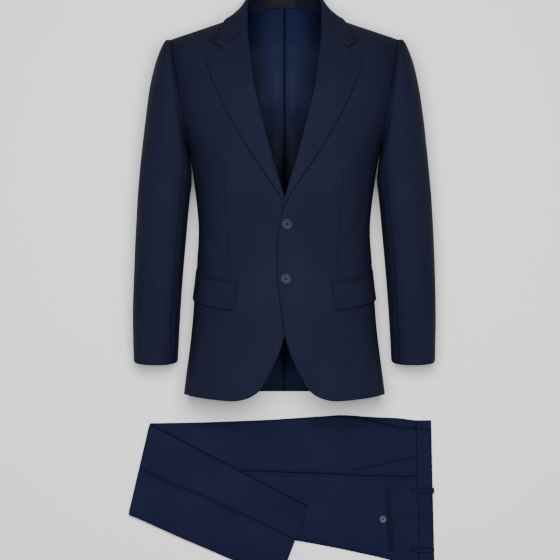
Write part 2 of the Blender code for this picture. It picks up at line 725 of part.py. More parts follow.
def make_jetting(side, name, finish, garment):
    reach = JETTING_REACH / FLAP_LENGTH

    def place(across, down):
        round_share, top = flap_line(mix(-reach, 1.0, across))
        drop = top - SEAM_GAP - JETTING_WIDTH * (1 - down)
        return chest(side, front_x(round_share, drop), drop, LAY_GAP)

    return add_sheet(name, JETTING_COLUMNS, 1, place, JETTING_WALL, finish, garment, side,
                     outward=True)


def make_breast_welt(side, name, finish, garment):
    def place(across, down):
        drop = WELT_TOP + WELT_DEPTH * down
        x = read(LAPEL_EDGE, "x", drop) + WELT_FROM_LAPEL + WELT_WIDTH * across
        return chest(side, x, drop - WELT_RISE * across, LAY_GAP)

    return add_sheet(name, 4, 2, place, WALL, finish, garment, side, outward=True)


def add_button(name, place, normal, radius, finish, garment):
    """A dished button turned about its own axis, which is then leant to the cloth's normal."""
    profile = bmesh.new()
    verts = [profile.verts.new((ring.radius * radius, 0.0, ring.height * radius))
             for ring in BUTTON_PROFILE]
    for first, second in zip(verts, verts[1:]):
        profile.edges.new((first, second))
    thing = add_object(name, profile, finish, garment)
    thing.location = (place + normal * BUTTON_LIFT) * MM
    thing.rotation_euler = normal.to_track_quat("Z", "Y").to_euler()
    turned = thing.modifiers.new("turned", "SCREW")
    turned.steps = BUTTON_SIDES
    turned.render_steps = BUTTON_SIDES
    turned.use_merge_vertices = True
    turned.merge_threshold = 0.00001
    return thing


def make_jacket_button(level, finish, garment):
    x, drop = BUTTON_PLACES[level]
    place = chest(1, x, drop)
    normal = (chest(1, x, drop, 1.0) - place).normalized()
    return add_button(f"jacket_button_{level}", place, normal, BUTTON_RADIUS, finish,
                      garment)


def make_label(finish, garment):
    """A bare woven label, inside the collar's stand at the centre back."""
    def place(across, down):
        x = LABEL_SHIFT + LABEL_WIDTH * (across - 0.5)
        row = abs(x) / COLLAR[1].fold_x
        stand, _, fold = collar_profile(math.copysign(1, x), row)[:3]
        point = fold.lerp(stand, mix(*LABEL_SPAN, down))
        return point + LABEL_FACING * (COLLAR_WALL / 2 + LAY_GAP)

    return add_sheet("jacket_label", 6, 1, place, LABEL_WALL, finish, garment,
                     outward=True)


def build_jacket(garment):
    for side, hand in ((1, "left"), (-1, "right")):
        make_front(side, f"jacket_front_{hand}", SUITING, garment)
        make_side(side, f"jacket_side_{hand}", SUITING, garment)
        make_back(side, f"jacket_back_{hand}", SUITING, garment)
        make_sleeve(side, f"sleeve_top_{hand}", SLEEVE_SEAM_FRONT, SLEEVE_SEAM_BACK,
                    SLEEVE_TOP_COLUMNS, SUITING, garment)
        make_sleeve(side, f"sleeve_under_{hand}", SLEEVE_SEAM_BACK + SLEEVE_SEAM,
                    1 + SLEEVE_SEAM_FRONT - SLEEVE_SEAM, SLEEVE_UNDER_COLUMNS, SUITING,
                    garment)
        make_lapel(side, f"jacket_lapel_{hand}", SUITING, garment)
        make_flap(side, f"pocket_flap_{hand}", SUITING, garment)
        make_jetting(side, f"pocket_jetting_{hand}", SUITING, garment)
        make_lining(side, f"back_lining_{hand}", SATIN, garment)
        make_hem_facing(side, f"back_hem_facing_{hand}", SUITING, garment)
    make_collar(SUITING, garment)
    make_breast_welt(1, "breast_pocket_welt", SUITING, garment)
    for level in BUTTON_PLACES:
        make_jacket_button(level, HORN, garment)
    make_label(WOVEN, garment)


# ---------------------------------------------------------------- the trousers' form
def crease_up(along, near=True):
    return read(NEAR_FRONT_CREASE if near else FRONT_CREASE, "up", along)


def back_up(along):
    return read(BACK_CREASE, "up", along)


FOLD_START = Vector((FOLD_FRONT, crease_up(FOLD_FRONT), 0.0))
FOLD_LINE = (Vector((FOLD_BACK, back_up(FOLD_BACK), 0.0)) - FOLD_START).normalized()
FOLD_AWAY = Vector((-FOLD_LINE.y, FOLD_LINE.x, 0.0))
FOLD_LENGTH = math.pi * FOLD_RADIUS


def trouser_point(along, up, height):
    """A point of the flat trousers, after the legs are folded."""
    place = Vector((along, up, 0.0))
    beyond = (place - FOLD_START).dot(FOLD_AWAY)
    radius = FOLD_CENTRE - height
    foot = place - FOLD_AWAY * beyond
    if beyond > FOLD_LENGTH:
        place = foot - FOLD_AWAY * (beyond - FOLD_LENGTH)
        height = FOLD_CENTRE + radius
        off_edge = back_up(place.x) - place.y
        height -= SAG_FALL * smooth((off_edge - SAG_START) / (SAG_END - SAG_START))
    elif beyond > 0:
        turn = beyond / FOLD_RADIUS
        place = foot + FOLD_AWAY * radius * math.sin(turn)
        height = FOLD_CENTRE - radius * math.cos(turn)
    return Vector((-place.x, place.y, height))


def stations(start):
    """Lines across the trousers, each from the front crease to the back crease."""
    fold = Station(FOLD_FRONT, FOLD_BACK)
    step = FOLD_LENGTH / abs(FOLD_AWAY.x) / FOLD_STEPS
    after = Station(FOLD_FRONT + step * FOLD_STEPS, FOLD_BACK + step * FOLD_STEPS)

    def between(first, last, steps):
        return [Station(mix(first.front, last.front, i / steps),
                        mix(first.back, last.back, i / steps)) for i in range(steps)]

    return (between(start, fold, UPPER_STEPS) + between(fold, after, FOLD_STEPS)
            + between(after, HEM, LOWER_STEPS) + [HEM])


def across_legs(station, near=True):
    """The two ends of a station's line and its length."""
    front = Vector((station.front, crease_up(station.front, near), 0.0))
    back = Vector((station.back, back_up(station.back), 0.0))
    return front, back, (back - front).length


def edge_fall(distance):
    return EDGE_FALL * (1 - min(1.0, max(0.0, distance / EDGE_SOFT)))


def columns_across(line, width):
    """Shares of a line at which every layer has its columns; the outseam is among them."""
    seam = read(OUTSEAM, "share", line.front)
    soft = EDGE_SOFT / width
    return ([0.0] + [mix(soft, seam, i / FRONT_BAYS) for i in range(FRONT_BAYS)] + [seam]
            + [mix(seam, 1 - soft, i / BACK_BAYS) for i in range(1, BACK_BAYS + 1)] + [1.0])


def make_leg_panel(name, near, front, finish, garment):
    """The outer layer of one leg, from the waist seam to the hem: its front or its back."""
    lines = stations(WAIST_SEAM)
    bays = (FRONT_BAYS if front else BACK_BAYS) + 1

    def place(across, down):
        line = pick(lines, down)
        first, last, width = across_legs(line, near)
        column = round(across * bays) + (0 if front else FRONT_BAYS + 1)
        share = columns_across(line, width)[column]
        if column == FRONT_BAYS + 1:
            share += math.copysign(SEAM_GAP / 2 / width, -1 if front else 1)
        point = first.lerp(last, share)
        fall = edge_fall(min(share, 1 - share) * width)
        return trouser_point(point.x, point.y, STACK - fall if near else 0.0)

    return add_sheet(name, bays, len(lines) - 1, place, CLOTH, finish, garment,
                     1 if near else -1)


def core_ring(line, heights):
    """Outline of the inner layers across the trousers: (distance from the crease, height)."""
    first, last, width = across_legs(line, near=False)
    near_crease = first.y - crease_up(line.front)
    low, high = heights

    def top(distance):
        fall = max(edge_fall(distance - near_crease), edge_fall(width - distance))
        return max(CORE_EDGE_HIGH, high - fall)

    across, up = CORE_SHOULDER
    inset, middle = CORE_INSET, (low + CORE_EDGE_HIGH) / 2
    corner = inset + across
    shares = columns_across(line, width)[2:-1]
    distances = [corner, max(corner, near_crease) + across / 2, near_crease + EDGE_SOFT]
    distances += [share * width for share in shares] + [width - corner]
    ring = [(distance, top(distance)) for distance in distances]
    edge = [(inset, CORE_EDGE_HIGH - up), (inset + CORE_NOTCH, middle), (inset, low + up)]
    ring += [(width - distance, height) for distance, height in edge]
    ring += [(width - corner, low)]
    ring += [(share * width, low) for share in shares[::-1]]
    ring += [(corner, low)] + edge[::-1]
    points = []
    for distance, height in ring:
        point = first.lerp(last, distance / width)
        points.append(trouser_point(point.x, point.y, height))
    return points


def make_inner_layers(finish, garment):
    """The layers that do not show, as one solid that is grooved along its edges."""
    def past(line, distance):
        return Station(line.front + distance, line.back + distance)

    legs = stations(past(WAIST_SEAM, CORE_STEP))[:-1] + [past(HEM, -CORE_END)]
    rings = [core_ring(past(WAIST, CORE_START), BAND_CORE),
             core_ring(past(WAIST_SEAM, SEAM_GAP), BAND_CORE)]
    rings += [core_ring(line, (CORE_LOW, CORE_HIGH)) for line in legs]
    around = len(rings[0])
    tube = bmesh.new()
    bmesh.ops.create_grid(tube, x_segments=around, y_segments=len(rings) - 1, size=0.5)
    for vert in tube.verts:
        column = round((vert.co.x + 0.5) * around)
        vert.co = pick(rings, 0.5 - vert.co.y)[column % around]
    bmesh.ops.remove_doubles(tube, verts=tube.verts, dist=0.0001)
    ends = [edge for edge in tube.edges if edge.is_boundary]
    bmesh.ops.holes_fill(tube, edges=ends, sides=around)
    return add_object("trousers_inner_layers", tube, finish, garment)


def make_waistband(name, near, finish, garment):
    top = STACK + BAND_RISE

    def place(across, down):
        line = Station(mix(WAIST.front, WAIST_SEAM.front - SEAM_GAP, down),
                       mix(WAIST.back, WAIST_SEAM.back - SEAM_GAP, down))
        first, last, _ = across_legs(line, near)
        point = first.lerp(last, across)
        return trouser_point(point.x, point.y, top if near else 0.0)

    return add_sheet(name, 8, 2, place, BAND_WALL, finish, garment, 1 if near else -1)


def make_band_end(finish, garment):
    """The right waistband's front end, turned in and showing past the left front."""
    def place(across, down):
        line = Station(mix(WAIST.front, WAIST_SEAM.front - SEAM_GAP, down),
                       mix(WAIST.back, WAIST_SEAM.back - SEAM_GAP, down))
        first, last, width = across_legs(line, near=False)
        point = first.lerp(last, mix(TURN_INSET, TURN_REACH, across) / width)
        return trouser_point(point.x, point.y, TURN_HEIGHT)

    return add_sheet("waistband_right_end", 4, 2, place, CLOTH, finish, garment,
                     outward=True)


def make_belt_loop(where, finish, garment):
    def place(across, down):
        along = mix(LOOP_START, LOOP_END, down)
        over = BAND_RISE * (1 - smooth((along - WAIST_SEAM.back) / LOOP_EASE))
        up = LOOP_PLACES[where] + LOOP_WIDTH * (0.5 - across)
        return trouser_point(along, up, STACK + over + SEAM_GAP)

    return add_sheet(f"belt_loop_{where}", 1, 5, place, LOOP_WALL, finish, garment,
                     outward=True)


def make_strip(name, start, end, low, high, finish, garment):
    """A straight strip of cloth on the left leg, between two distances from its line."""
    first, last = Vector((*start, 0.0)), Vector((*end, 0.0))
    aside = (last - first).normalized().cross(Vector((0.0, 0.0, 1.0)))

    def place(across, down):
        point = first.lerp(last, across) + aside * mix(low, high, down)
        return trouser_point(point.x, point.y, STACK + SEAM_GAP)

    return add_sheet(name, 5, 1, place, TRIM_WALL, finish, garment, -1, outward=True)


def build_trousers(garment):
    for near, hand in ((True, "left"), (False, "right")):
        make_leg_panel(f"trousers_{hand}_front", near, True, TROUSER_CLOTH, garment)
        make_leg_panel(f"trousers_{hand}_back", near, False, TROUSER_CLOTH, garment)
        make_waistband(f"waistband_{hand}", near, TROUSER_CLOTH, garment)
    make_inner_layers(TROUSER_CLOTH, garment)
    make_band_end(TROUSER_CLOTH, garment)
    for where in LOOP_PLACES:
        make_belt_loop(where, TROUSER_CLOTH, garment)
    half_gap = SEAM_GAP / 2
    make_strip("back_pocket_welt_upper", *BACK_POCKET, half_gap, BACK_WELT_WIDTH, TROUSER_CLOTH,
               garment)
    make_strip("back_pocket_welt_lower", *BACK_POCKET, -BACK_WELT_WIDTH, -half_gap, TROUSER_CLOTH,
               garment)
    make_strip("front_pocket_edge", *SLANT_POCKET, -SLANT_WIDTH / 2, SLANT_WIDTH / 2, TROUSER_CLOTH,
               garment)
    place = trouser_point(*TROUSER_BUTTON_PLACE, STACK)
    add_button("back_pocket_button", place, Vector((0, 0, 1)), TROUSER_BUTTON_RADIUS, PALE_HORN,
               garment)


def add_garment(name, place, collection):
    """The empty that carries a garment's pieces."""
    garment = bpy.data.objects.new(name, None)
    garment.location = (place[0] * MM, place[1] * MM, 0.0)
    collection.objects.link(garment)
    return garment


def main():
    for thing in list(bpy.data.objects):
        bpy.data.objects.remove(thing, do_unlink=True)
    suit = bpy.data.collections.new("two_piece_suit")
    bpy.context.scene.collection.children.link(suit)
    build_jacket(add_garment("jacket", JACKET_PLACE, suit))
    build_trousers(add_garment("trousers", TROUSERS_PLACE, suit))


main()
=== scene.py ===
"""Looks of a two-piece suit: the jacket lies on its back, the folded trousers lie below it.

Lengths are in millimetres here and become metres where a mesh is made.  Jacket places are
(x, drop): x out from the centre line towards a sleeve, drop down from the neck end of the
shoulder seam.  Trouser places are (along, up): along from the waist towards the hems, up from
the front end of the waist.  Heights are over the surface that both garments lie on.  A side
is 1 for the wearer's left and -1 for the right.
"""

import json
import logging
import math
from bisect import bisect_left
from dataclasses import dataclass, field
from enum import Enum, Flag, auto
from typing import Callable, NamedTuple, Optional, Sequence

import bmesh
import bpy
from mathutils import Matrix, Vector, noise

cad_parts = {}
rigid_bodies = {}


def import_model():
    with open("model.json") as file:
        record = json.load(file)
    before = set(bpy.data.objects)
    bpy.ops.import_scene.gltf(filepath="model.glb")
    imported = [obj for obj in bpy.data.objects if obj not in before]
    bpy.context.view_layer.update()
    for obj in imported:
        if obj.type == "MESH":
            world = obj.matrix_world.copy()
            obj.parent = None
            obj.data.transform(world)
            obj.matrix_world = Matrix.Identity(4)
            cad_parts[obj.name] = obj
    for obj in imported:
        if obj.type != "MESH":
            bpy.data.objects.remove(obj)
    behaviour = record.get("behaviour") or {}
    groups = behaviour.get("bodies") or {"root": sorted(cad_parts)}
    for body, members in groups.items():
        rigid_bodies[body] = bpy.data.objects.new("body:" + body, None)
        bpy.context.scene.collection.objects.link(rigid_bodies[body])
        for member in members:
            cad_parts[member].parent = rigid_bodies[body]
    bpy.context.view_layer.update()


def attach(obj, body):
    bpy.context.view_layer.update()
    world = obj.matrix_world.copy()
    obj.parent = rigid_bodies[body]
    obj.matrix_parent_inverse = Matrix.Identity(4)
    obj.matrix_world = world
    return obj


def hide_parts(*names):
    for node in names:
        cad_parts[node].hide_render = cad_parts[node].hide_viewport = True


MM = 0.001
PAINTED_SHADE = "shade"          # the attribute of painted shade: it darkens cloth beside seams and edges
MOST_NOISE = (0.3, 0.7)  # where most of a noise texture's values lie
MIX_INPUTS = (6, 7)      # the Mix node's sockets for two colours
MIX_RESULT = 2
INWARD, CENTRED, OUTWARD = -1.0, 0.0, 1.0   # how a sheet's wall grows from its face
LOG = logging.getLogger("suit")

Pair = tuple[float, float]
Triple = tuple[float, float, float]
Color = Triple
Cell = tuple[int, int]
Mesh = bmesh.types.BMesh
Tree = bpy.types.NodeTree
Socket = bpy.types.NodeSocket


# ---- small mathematics
def smooth(share: float) -> float:
    """Go from 0 to 1 without a corner at either end."""
    share = min(1.0, max(0.0, share))
    return share * share * (3 - 2 * share)


def mix(start: float, end: float, share: float) -> float:
    """Go from start to end by a share."""
    return start + (end - start) * share


def rounding(share: float) -> float:
    """Quarter circle: steep at 0, level at 1."""
    share = min(1.0, max(0.0, share))
    return math.sqrt(1 - (1 - share) ** 2)


def root_of(share: float, power: float) -> float:
    """Height of a squared-off circle of this power, a share of the way out."""
    return max(0.0, 1 - abs(share) ** power) ** (1 / power)


def hump(share: float) -> float:
    """Rise from 0 to 1 and fall back to 0 along a bow."""
    return 4 * share * (1 - share)


def even(count: int) -> list[float]:
    """Shares that divide a length evenly."""
    return [i / count for i in range(count + 1)]


class Curve:
    """A smooth curve through a few given points."""

    def __init__(self, *points: Pair) -> None:
        """Keep the points, and the slope at each.

        Args:
            points: pairs of key and value, with rising keys.
        """
        self.keys, self.values = zip(*points)
        last = len(points) - 1
        self.slopes = []
        for place in range(last + 1):
            before, after = max(0, place - 1), min(last, place + 1)
            rise = self.values[after] - self.values[before]
            self.slopes.append(rise / (self.keys[after] - self.keys[before]))

    def at(self, key: float) -> float:
        """Read the curve.

        Args:
            key: where; beyond the ends the end values hold.

        Returns:
            The value there.
        """
        keys, values, slopes = self.keys, self.values, self.slopes
        key = min(keys[-1], max(keys[0], key))
        index = min(max(bisect_left(keys, key) - 1, 0), len(keys) - 2)
        span = keys[index + 1] - keys[index]
        share = (key - keys[index]) / span
        square, cube = share ** 2, share ** 3
        return ((2 * cube - 3 * square + 1) * values[index]
                + (cube - 2 * square + share) * span * slopes[index]
                + (3 * square - 2 * cube) * values[index + 1]
                + (cube - square) * span * slopes[index + 1])


def grid_lines(length: float, cell: float, stops: Sequence[float] = (0.0, 1.0),
               close: Sequence[float] = (1.0, 3.0)) -> list[float]:
    """Shares of a length for a grid: even, and close together beside each stop.

    Args:
        length: the length that the grid covers.
        cell: the size of its even cells.
        stops: shares at which there is a seam or an edge.
        close: distances of the extra lines from each stop.

    Returns:
        Rising shares from the first stop to the last.
    """
    lines = []
    for first, last in zip(stops, stops[1:]):
        span = (last - first) * length
        near = [distance for distance in close if 3 * distance < span]
        inner = near[-1] if near else 0.0
        count = max(1, round((span - 2 * inner) / cell))
        lines.append(first)
        lines += [first + distance / length for distance in near]
        lines += [first + (inner + (span - 2 * inner) * i / count) / length
                  for i in range(1, count)]
        lines += [last - distance / length for distance in reversed(near)]
    return lines + [stops[-1]]


# ---- finishes
def add_node(tree: Tree, kind: str, feeds: Optional[dict[object, object]] = None,
             **settings: object) -> bpy.types.Node:
    """Add a node.

    Args:
        tree: the tree to add it to.
        kind: the node's type.
        feeds: for an input's name or number, its value or the socket that leads to it.
        settings: the node's own properties.

    Returns:
        The node.
    """
    node = tree.nodes.new(kind)
    for key, value in settings.items():
        setattr(node, key, value)
    for label, value in (feeds or {}).items():
        if isinstance(value, Socket):
            tree.links.new(value, node.inputs[label])
        else:
            node.inputs[label].default_value = value
    return node


def calculate(tree: Tree, operation: str, *values: object) -> Socket:
    """Add a Math node on numbers or sockets."""
    feeds = dict(enumerate(values))
    return add_node(tree, "ShaderNodeMath", feeds, operation=operation).outputs[0]


def blend_colors(tree: Tree, mask: Socket, *colors: object) -> Socket:
    """Mix two colours, each given or a socket, by a mask."""
    full = [value if isinstance(value, Socket) else (*value, 1.0) for value in colors]
    feeds = {"Factor": mask, **dict(zip(MIX_INPUTS, full))}
    return add_node(tree, "ShaderNodeMix", feeds, data_type="RGBA").outputs[MIX_RESULT]


def stretch_range(tree: Tree, value: Socket, low: float, high: float, start: float = 0.0,
                  end: float = 1.0) -> Socket:
    """Map a value's range from low and high to start and end, and clamp it."""
    feeds = {"Value": value, "From Min": low, "From Max": high, "To Min": start, "To Max": end}
    return add_node(tree, "ShaderNodeMapRange", feeds).outputs["Result"]


def add_bump(tree: Tree, height: Socket, depth: float, **over: Socket) -> Socket:
    """Turn a height of this depth in metres into a normal, over one given as Normal."""
    feeds = {"Height": height, "Distance": depth, **over}
    return add_node(tree, "ShaderNodeBump", feeds).outputs["Normal"]


def open_group(name: str, inputs: dict[str, float]) -> tuple[Tree, Sequence[Socket]]:
    """Start a node group that reads a place on the cloth.

    Args:
        name: the group's name.
        inputs: its other inputs, each with its default.

    Returns:
        The group's tree and the sockets that its inputs come from.
    """
    tree = bpy.data.node_groups.new(name, "ShaderNodeTree")
    tree.interface.new_socket("Place", in_out="INPUT", socket_type="NodeSocketVector")
    for label, default in inputs.items():
        socket = tree.interface.new_socket(label, in_out="INPUT", socket_type="NodeSocketFloat")
        socket.default_value = default
    return tree, add_node(tree, "NodeGroupInput").outputs


def close_group(tree: Tree, outputs: dict[str, Socket]) -> Tree:
    """Give a node group its outputs, each a number that changes over the surface.

    Args:
        tree: the group's tree.
        outputs: the socket that leads to each output.

    Returns:
        The finished group.
    """
    for label in outputs:
        tree.interface.new_socket(label, in_out="OUTPUT", socket_type="NodeSocketFloat")
    add_node(tree, "NodeGroupOutput", outputs)
    return tree


def make_twill_group() -> Tree:
    """Threads of a fine twill: a diagonal rib crossed by single threads.

    Returns:
        A group from a place and a thread pitch to a height and a thread mask.
    """
    tree, start = open_group("twill", {"Pitch": 0.0006, "Steepness": 1.7})
    place = add_node(tree, "ShaderNodeSeparateXYZ", {0: start["Place"]}).outputs
    turns = calculate(tree, "DIVIDE", 2 * math.pi, start["Pitch"])
    across, down = (calculate(tree, "MULTIPLY", place[axis], turns) for axis in "XY")
    steep = calculate(tree, "MULTIPLY", across, start["Steepness"])
    rib = calculate(tree, "SINE", calculate(tree, "ADD", steep, down))
    single = calculate(tree, "SINE", calculate(tree, "MULTIPLY", down, 3.0))
    both = calculate(tree, "MULTIPLY_ADD", single, 0.35, rib)
    return close_group(tree, {"Height": calculate(tree, "MULTIPLY_ADD", both, 0.37, 0.5),
                              "Thread": calculate(tree, "MULTIPLY_ADD", rib, 0.5, 0.5)})


def make_nap_group() -> Tree:
    """Fibres and shading of worn cloth.

    Returns:
        A group from a place to a fleck mask, a cloud mask and a fibre height.
    """
    tree, start = open_group("nap", {"Fleck Scale": 900.0, "Cloud Scale": 9.0})
    drawn = add_node(tree, "ShaderNodeVectorMath", {0: start["Place"], 1: (1.0, 0.3, 1.0)},
                     operation="MULTIPLY").outputs[0]
    masks = {}
    for label, scale, place, detail in (("Fleck", start["Fleck Scale"], drawn, 2.0),
                                        ("Cloud", start["Cloud Scale"], start["Place"], 3.0),
                                        ("Fibre", 2600.0, drawn, 1.0)):
        feeds = {"Vector": place, "Scale": scale, "Detail": detail}
        masks[label] = add_node(tree, "ShaderNodeTexNoise", feeds).outputs[0]
    return close_group(tree, masks)


def place_group(tree: Tree, name: str, **feeds: object) -> Sequence[Socket]:
    """Put a shared group into a material, and make it the first time.

    Args:
        tree: the material's tree.
        name: the group's name.
        feeds: its inputs.

    Returns:
        The sockets of its outputs.
    """
    makers = {"twill": make_twill_group, "nap": make_nap_group}
    group = bpy.data.node_groups.get(name) or makers[name]()
    return add_node(tree, "ShaderNodeGroup", feeds, node_tree=group).outputs


@dataclass(frozen=True)
class Finish:
    """What every finish has: its colours and gloss, and the record's slot that it is for."""

    name: str
    dark: Color
    light: Color
    rough: Pair = (0.75, 0.5)
    specular: float = 0.12
    slot: str = ""

    def material(self) -> bpy.types.Material:
        """Make the finish's material, or find it once it is made.

        Returns:
            The material.
        """
        material = bpy.data.materials.get(self.name)
        if not material:
            material = bpy.data.materials.new(self.name)
            material.use_nodes = True
            tree = material.node_tree
            shader = tree.nodes["Principled BSDF"]
            shader.inputs["Specular IOR Level"].default_value = self.specular
            for label, socket in zip(("Base Color", "Roughness", "Normal"), self.surface(tree)):
                tree.links.new(socket, shader.inputs[label])
        return material

    def surface(self, tree: Tree) -> tuple[Socket, Socket, Socket]:
        """Give the colour, roughness and normal; each kind of finish has its own."""
        raise NotImplementedError


@dataclass(frozen=True)
class Cloth(Finish):
    """A woven cloth with a nap, coloured by its dark and its light threads."""

    pitch: float = 0.0007
    thread_depth: float = 0.00006
    cloud: float = 0.16

    def surface(self, tree: Tree) -> tuple[Socket, Socket, Socket]:
        """Weave the threads, and paint shade over them beside seams, at rolled edges and in
        recesses, as the shade attribute gives it.

        Args:
            tree: the material's tree.

        Returns:
            The colour, roughness and normal.
        """
        place = add_node(tree, "ShaderNodeTexCoord").outputs["UV"]
        twill = place_group(tree, "twill", Place=place, Pitch=self.pitch)
        nap = place_group(tree, "nap", Place=place)
        fleck = stretch_range(tree, nap["Fleck"], *MOST_NOISE)
        thread = calculate(tree, "MULTIPLY", twill["Thread"], 0.5)
        mask = calculate(tree, "MULTIPLY_ADD", fleck, 0.5, thread)
        woven = blend_colors(tree, mask, self.dark, self.light)
        cloud = stretch_range(tree, nap["Cloud"], *MOST_NOISE, 0.0, self.cloud)
        deep, painted_shade_color = ([value * part for value in self.dark] for part in (0.55, 0.1))
        # painted shade: the shade attribute mixes the colour towards a near black, for shadow
        # beside seams, at edges and in recesses
        beside = add_node(tree, "ShaderNodeAttribute", attribute_name=PAINTED_SHADE).outputs["Fac"]
        color = blend_colors(tree, beside, blend_colors(tree, cloud, woven, deep), painted_shade_color)
        rough = stretch_range(tree, nap["Cloud"], *MOST_NOISE, *self.rough)
        ribbed = add_bump(tree, twill["Height"], self.thread_depth)
        return color, rough, add_bump(tree, nap["Fibre"], self.thread_depth * 0.7, Normal=ribbed)


@dataclass(frozen=True)
class Horn(Finish):
    """Polished horn or its imitation: dark, with light streaks."""

    streaks: float = 260.0

    def surface(self, tree: Tree) -> tuple[Socket, Socket, Socket]:
        """Streak the horn.

        Args:
            tree: the material's tree.

        Returns:
            The colour, roughness and normal.
        """
        feeds = {"Vector": add_node(tree, "ShaderNodeTexCoord").outputs["Object"],
                 "Scale": self.streaks, "Detail": 4.0, "Distortion": 1.4}
        streak = add_node(tree, "ShaderNodeTexNoise", feeds).outputs[0]
        mask = stretch_range(tree, streak, 0.35, 0.68)
        return (blend_colors(tree, mask, self.dark, self.light),
                stretch_range(tree, streak, *MOST_NOISE, *self.rough),
                add_bump(tree, streak, 0.00003))


@dataclass(frozen=True)
class Thread(Finish):
    """Sewing thread, two plies twisted about each other."""

    twist: float = 1500.0

    def surface(self, tree: Tree) -> tuple[Socket, Socket, Socket]:
        """Twist the plies.

        Args:
            tree: the material's tree.

        Returns:
            The colour, roughness and normal.
        """
        feeds = {"Vector": add_node(tree, "ShaderNodeTexCoord").outputs["Object"],
                 "Scale": self.twist, "Distortion": 0.6}
        ply = add_node(tree, "ShaderNodeTexWave", feeds, bands_direction="DIAGONAL").outputs["Fac"]
        return (blend_colors(tree, ply, self.dark, self.light),
                stretch_range(tree, ply, 0.0, 1.0, *self.rough), add_bump(tree, ply, 0.00008))


SUITING = Cloth("navy_worsted", (0.0056, 0.0066, 0.0183), (0.0098, 0.0114, 0.0295),
                (0.78, 0.9), 0.07, "suiting")
TROUSER_CLOTH = Cloth("navy_worsted_pressed", (0.0049, 0.0063, 0.0226),
                      (0.0087, 0.0110, 0.0368), (0.74, 0.88), 0.08, "trouser_cloth")
LINING = Cloth("navy_satin", (0.0052, 0.0074, 0.0290), (0.0086, 0.0122, 0.0450), (0.5, 0.66),
               0.05, "lining", pitch=0.00035, thread_depth=0.00002, cloud=0.3)
LABEL_CLOTH = Cloth("woven_label", (0.0020, 0.0023, 0.0034), (0.0042, 0.0047, 0.0064),
                    (0.5, 0.65), 0.1, "label", pitch=0.0005)
JACKET_HORN = Horn("dark_horn", (0.008, 0.012, 0.022), (0.026, 0.034, 0.054), (0.42, 0.56),
                   0.1, "jacket_buttons")
PALE_HORN = Horn("pale_horn", (0.030, 0.038, 0.074), (0.062, 0.078, 0.134), (0.34, 0.48),
                 0.24, "trouser_button")
NAVY_THREAD = Thread("navy_thread", (0.0050, 0.0078, 0.0200), (0.0090, 0.0130, 0.0320))
DARK_THREAD = Thread("dark_thread", (0.0025, 0.0035, 0.0080), (0.0060, 0.0080, 0.0180))


# ---- meshes and pieces
def add_object(name: str, data: Mesh) -> bpy.types.Object:
    """Put a mesh into the scene.

    Args:
        name: the object's name.
        data: the mesh, which is used up.

    Returns:
        The object.
    """
    mesh = bpy.data.meshes.new(name)
    data.to_mesh(mesh)
    data.free()
    thing = bpy.data.objects.new(name, mesh)
    bpy.context.scene.collection.objects.link(thing)
    return thing


def finish_mesh(name: str, data: Mesh, finish: Finish, slot: str = "",
                where: Matrix = Matrix()) -> bpy.types.Object:
    """Make a piece of a mesh, dress it, and let it ride.

    Args:
        name: the piece's name.
        data: its mesh, in millimetres.
        finish: what it is made of.
        slot: the record's material slot, where it isn't the finish's own; not used.
        where: the place that the mesh is put in.

    Returns:
        The piece.
    """
    bmesh.ops.transform(data, matrix=Matrix.Scale(MM, 4) @ where, verts=data.verts)
    piece = add_object(name, data)
    piece.data.shade_smooth()
    piece.data.materials.append(finish.material())
    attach(piece, "root")
    slot or finish.slot
    LOG.info("%s: %d faces", name, len(piece.data.polygons))
    return piece


def close_mesh(data: Mesh, sharp: float) -> None:
    """Turn a closed mesh's faces outward and mark the edges sharper than some degrees."""
    bmesh.ops.recalc_face_normals(data, faces=data.faces)
    for edge in data.edges:
        edge.smooth = not edge.is_manifold or edge.calc_face_angle() < math.radians(sharp)


def carve(body: Mesh, cutter: Mesh) -> Mesh:
    """Cut one closed mesh out of another.

    Args:
        body: the mesh that is cut.
        cutter: what is taken away; both meshes are used up.

    Returns:
        The cut mesh.
    """
    things = [add_object("carving", data) for data in (body, cutter)]
    cut = things[0].modifiers.new("cut", "BOOLEAN")
    cut.object, cut.operation, cut.solver = things[1], "DIFFERENCE", "EXACT"
    graph = bpy.context.evaluated_depsgraph_get()
    result = bmesh.new()
    result.from_mesh(things[0].evaluated_get(graph).to_mesh())
    for mesh in [thing.data for thing in things]:
        bpy.data.meshes.remove(mesh, do_unlink=True)
    return result


def sweep(data: Mesh, points: Sequence[Vector], radius: float, sides: int) -> None:
    """Add a round tube with closed ends along a few points.

    Args:
        data: the mesh to add it to.
        points: the tube's middle line.
        radius: the tube's radius.
        sides: how many sides it has.
    """
    def frame_at(index: int) -> Matrix:
        """Turn a ring across the line at one of its points."""
        before, after = points[max(0, index - 1)], points[min(len(points) - 1, index + 1)]
        turn = (after - before).to_track_quat("Z", "Y").to_matrix().to_4x4()
        return Matrix.Translation(points[index]) @ turn

    ring = bmesh.ops.create_circle(data, cap_ends=True, segments=sides, radius=radius,
                                   matrix=frame_at(0))["verts"]
    edges = list({edge for vert in ring for edge in vert.link_edges})
    for index in range(1, len(points)):
        grown = bmesh.ops.extrude_edge_only(data, edges=edges)["geom"]
        verts = [part for part in grown if isinstance(part, bmesh.types.BMVert)]
        edges = [part for part in grown if isinstance(part, bmesh.types.BMEdge)]
        step = frame_at(index) @ frame_at(index - 1).inverted()
        bmesh.ops.transform(data, matrix=step, verts=verts)
    bmesh.ops.holes_fill(data, edges=edges, sides=sides)


def stitches(name: str, runs: Sequence[Sequence[Vector]], radius: float, slot: str,
             finish: Finish) -> None:
    """Make a piece of many short threads.

    Args:
        name: the piece's name.
        runs: the middle line of each thread.
        radius: the threads' radius.
        slot: the slot of the cloth that they sew.
        finish: what they are made of.
    """
    data = bmesh.new()
    for run in runs:
        sweep(data, run, radius, 5)
    close_mesh(data, 80)
    finish_mesh(name, data, finish, slot)


